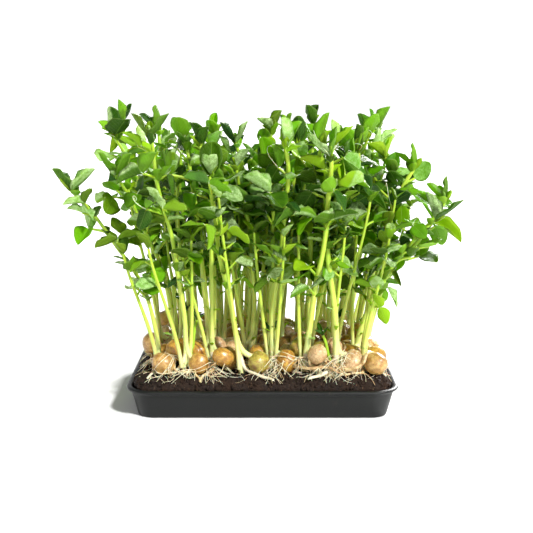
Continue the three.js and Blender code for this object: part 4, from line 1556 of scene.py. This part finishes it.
# %% [markdown]
# ## Tray
# The tray is one thin moulded shell with round corners and a rolled rim. Its section is drawn once, from
# the underside over the rim to the inner floor, and carried round the corners.

# %% Tray
CORNER_CUTS = 14


def tray_section():
    """Offsets from the mouth and heights, from the underside over the rim to the inside floor."""
    foot, half = TRAY_WALL - TRAY_TAPER, TRAY_RIM * 0.5
    outer = [(foot - 0.8, 0.0), (foot - 0.15, 0.12), (foot + 0.1, 0.7)]
    side = [(TRAY_WALL - 0.75, 9.4), (TRAY_WALL - 0.25, 10.6)]
    roll = np.linspace(-1.2, 3.0, 12)
    lip = [(half + math.cos(a) * half, TRAY_HEIGHT - 0.75 + math.sin(a) * 0.75) for a in roll]
    inner = [(-0.3, 10.6), (-TRAY_TAPER + 0.15, TRAY_FLOOR + 0.8), (-TRAY_TAPER - 0.8, TRAY_FLOOR)]
    return outer + side + lip + inner


def make_tray():
    points, faces = [], []
    section = tray_section()
    for offset, z in section:
        corner = TRAY_CORNER + offset
        for quarter, (sx, sy) in enumerate([(1, 1), (-1, 1), (-1, -1), (1, -1)]):
            for k in range(CORNER_CUTS):
                angle = math.pi / 2 * (quarter + k / (CORNER_CUTS - 1))
                x = sx * (TRAY_MOUTH[0] - TRAY_CORNER) + corner * math.cos(angle)
                y = sy * (TRAY_MOUTH[1] - TRAY_CORNER) + corner * math.sin(angle)
                points.append((x, y, z))
    loop = 4 * CORNER_CUTS
    for i in range(len(section) - 1):
        for k in range(loop):
            a, b = i * loop + k, i * loop + (k + 1) % loop
            faces.append((a, b, b + loop, a + loop))
    faces.append(tuple(reversed(range(loop))))
    faces.append(tuple(range((len(section) - 1) * loop, len(section) * loop)))
    return shell("tray_shell", points, faces)


def tray_finish():
    paint = Paint("tray_black", 0.42, Specular_IOR_Level=0.3)
    wear = paint.noise(70.0, 5.0, 0.7)
    _, _, height = paint.place.parts()
    colour = paint.mix(wear, (0.004, 0.0045, 0.0042), (0.01, 0.011, 0.0105))
    splashed = paint.streaks((260.0, 260.0, 30.0), 3.0).between(0.6, 0.8) * height.between(0.004, 0.012)
    colour = paint.mix(splashed * 0.4, colour, (0.09, 0.065, 0.045))
    return paint.done(colour, (paint.noise(2600.0, 3.0), 0.00008, 0.5), wear.between(0.3, 0.7, 0.34, 0.55))


tray_piece = make_tray()
tray_piece.data.materials.append(tray_finish())
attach(tray_piece, "root")
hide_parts("tray")
print("tray:", count_triangles(tray_piece), "triangles")

# %% [markdown]
# ## Floor, light and camera
# A plain pale floor and soft studio light show the greens as they are: a bright ring all round, a dimmer
# ceiling, one sun from the front and one from behind that lights the leaves through. The camera looks
# slightly down from the front, from about forty centimetres away.

# %% Floor, light and camera
FLOOR_RADIUS = 4.0
FLOOR_SIDES = 96
FLOOR_GREY = (0.86, 0.86, 0.85)
RING_LIGHT = 1.15
CEILING_LIGHT = 0.3
CAMERA_PLACE = (0.0016, -0.423, 0.126)
CAMERA_PITCH = 9.7


def make_floor():
    turns = np.linspace(0, 2 * math.pi, FLOOR_SIDES, False)
    mesh = bpy.data.meshes.new("floor")
    rim = [(FLOOR_RADIUS * math.cos(a), FLOOR_RADIUS * math.sin(a), 0.0) for a in turns]
    mesh.from_pydata(rim, [], [tuple(range(FLOOR_SIDES))])
    paint = Paint("floor_pale", 0.9)
    darker = tuple(0.98 * part for part in FLOOR_GREY)
    mesh.materials.append(paint.done(paint.mix(paint.noise(3.0), FLOOR_GREY, darker)))
    added("floor", mesh)


def make_studio():
    world = bpy.data.worlds.new("studio")
    world.use_nodes = True
    height = add_node(world.node_tree, "ShaderNodeTexCoord", "Generated").parts()[2]
    background = world.node_tree.nodes["Background"]
    background.inputs["Color"].default_value = (1, 1, 1, 1)
    plug(background.inputs["Strength"], height.between(0.14, 0.5, RING_LIGHT, CEILING_LIGHT))
    bpy.context.scene.world = world


def add_sun(name, aim, strength, softness):
    data = bpy.data.lights.new(name, "SUN")
    data.energy = strength
    data.angle = math.radians(softness)
    added(name, data).rotation_euler = Vector(aim).to_track_quat("-Z", "Y").to_euler()


make_floor()
make_studio()
add_sun("key", (-0.5, 0.62, -0.68), 5.0, 7)
add_sun("back", (-0.45, -0.9, -0.5), 6.2, 12)
bpy.context.scene.view_settings.view_transform = "Standard"

camera = added("camera", bpy.data.cameras.new("camera"))
camera.data.sensor_width = 36.0
camera.data.lens = 68.0
camera.data.clip_start = 0.01
camera.location = CAMERA_PLACE
camera.rotation_euler = (math.radians(90 - CAMERA_PITCH), 0, 0)
bpy.context.scene.camera = camera
print("camera:", CAMERA_PLACE)
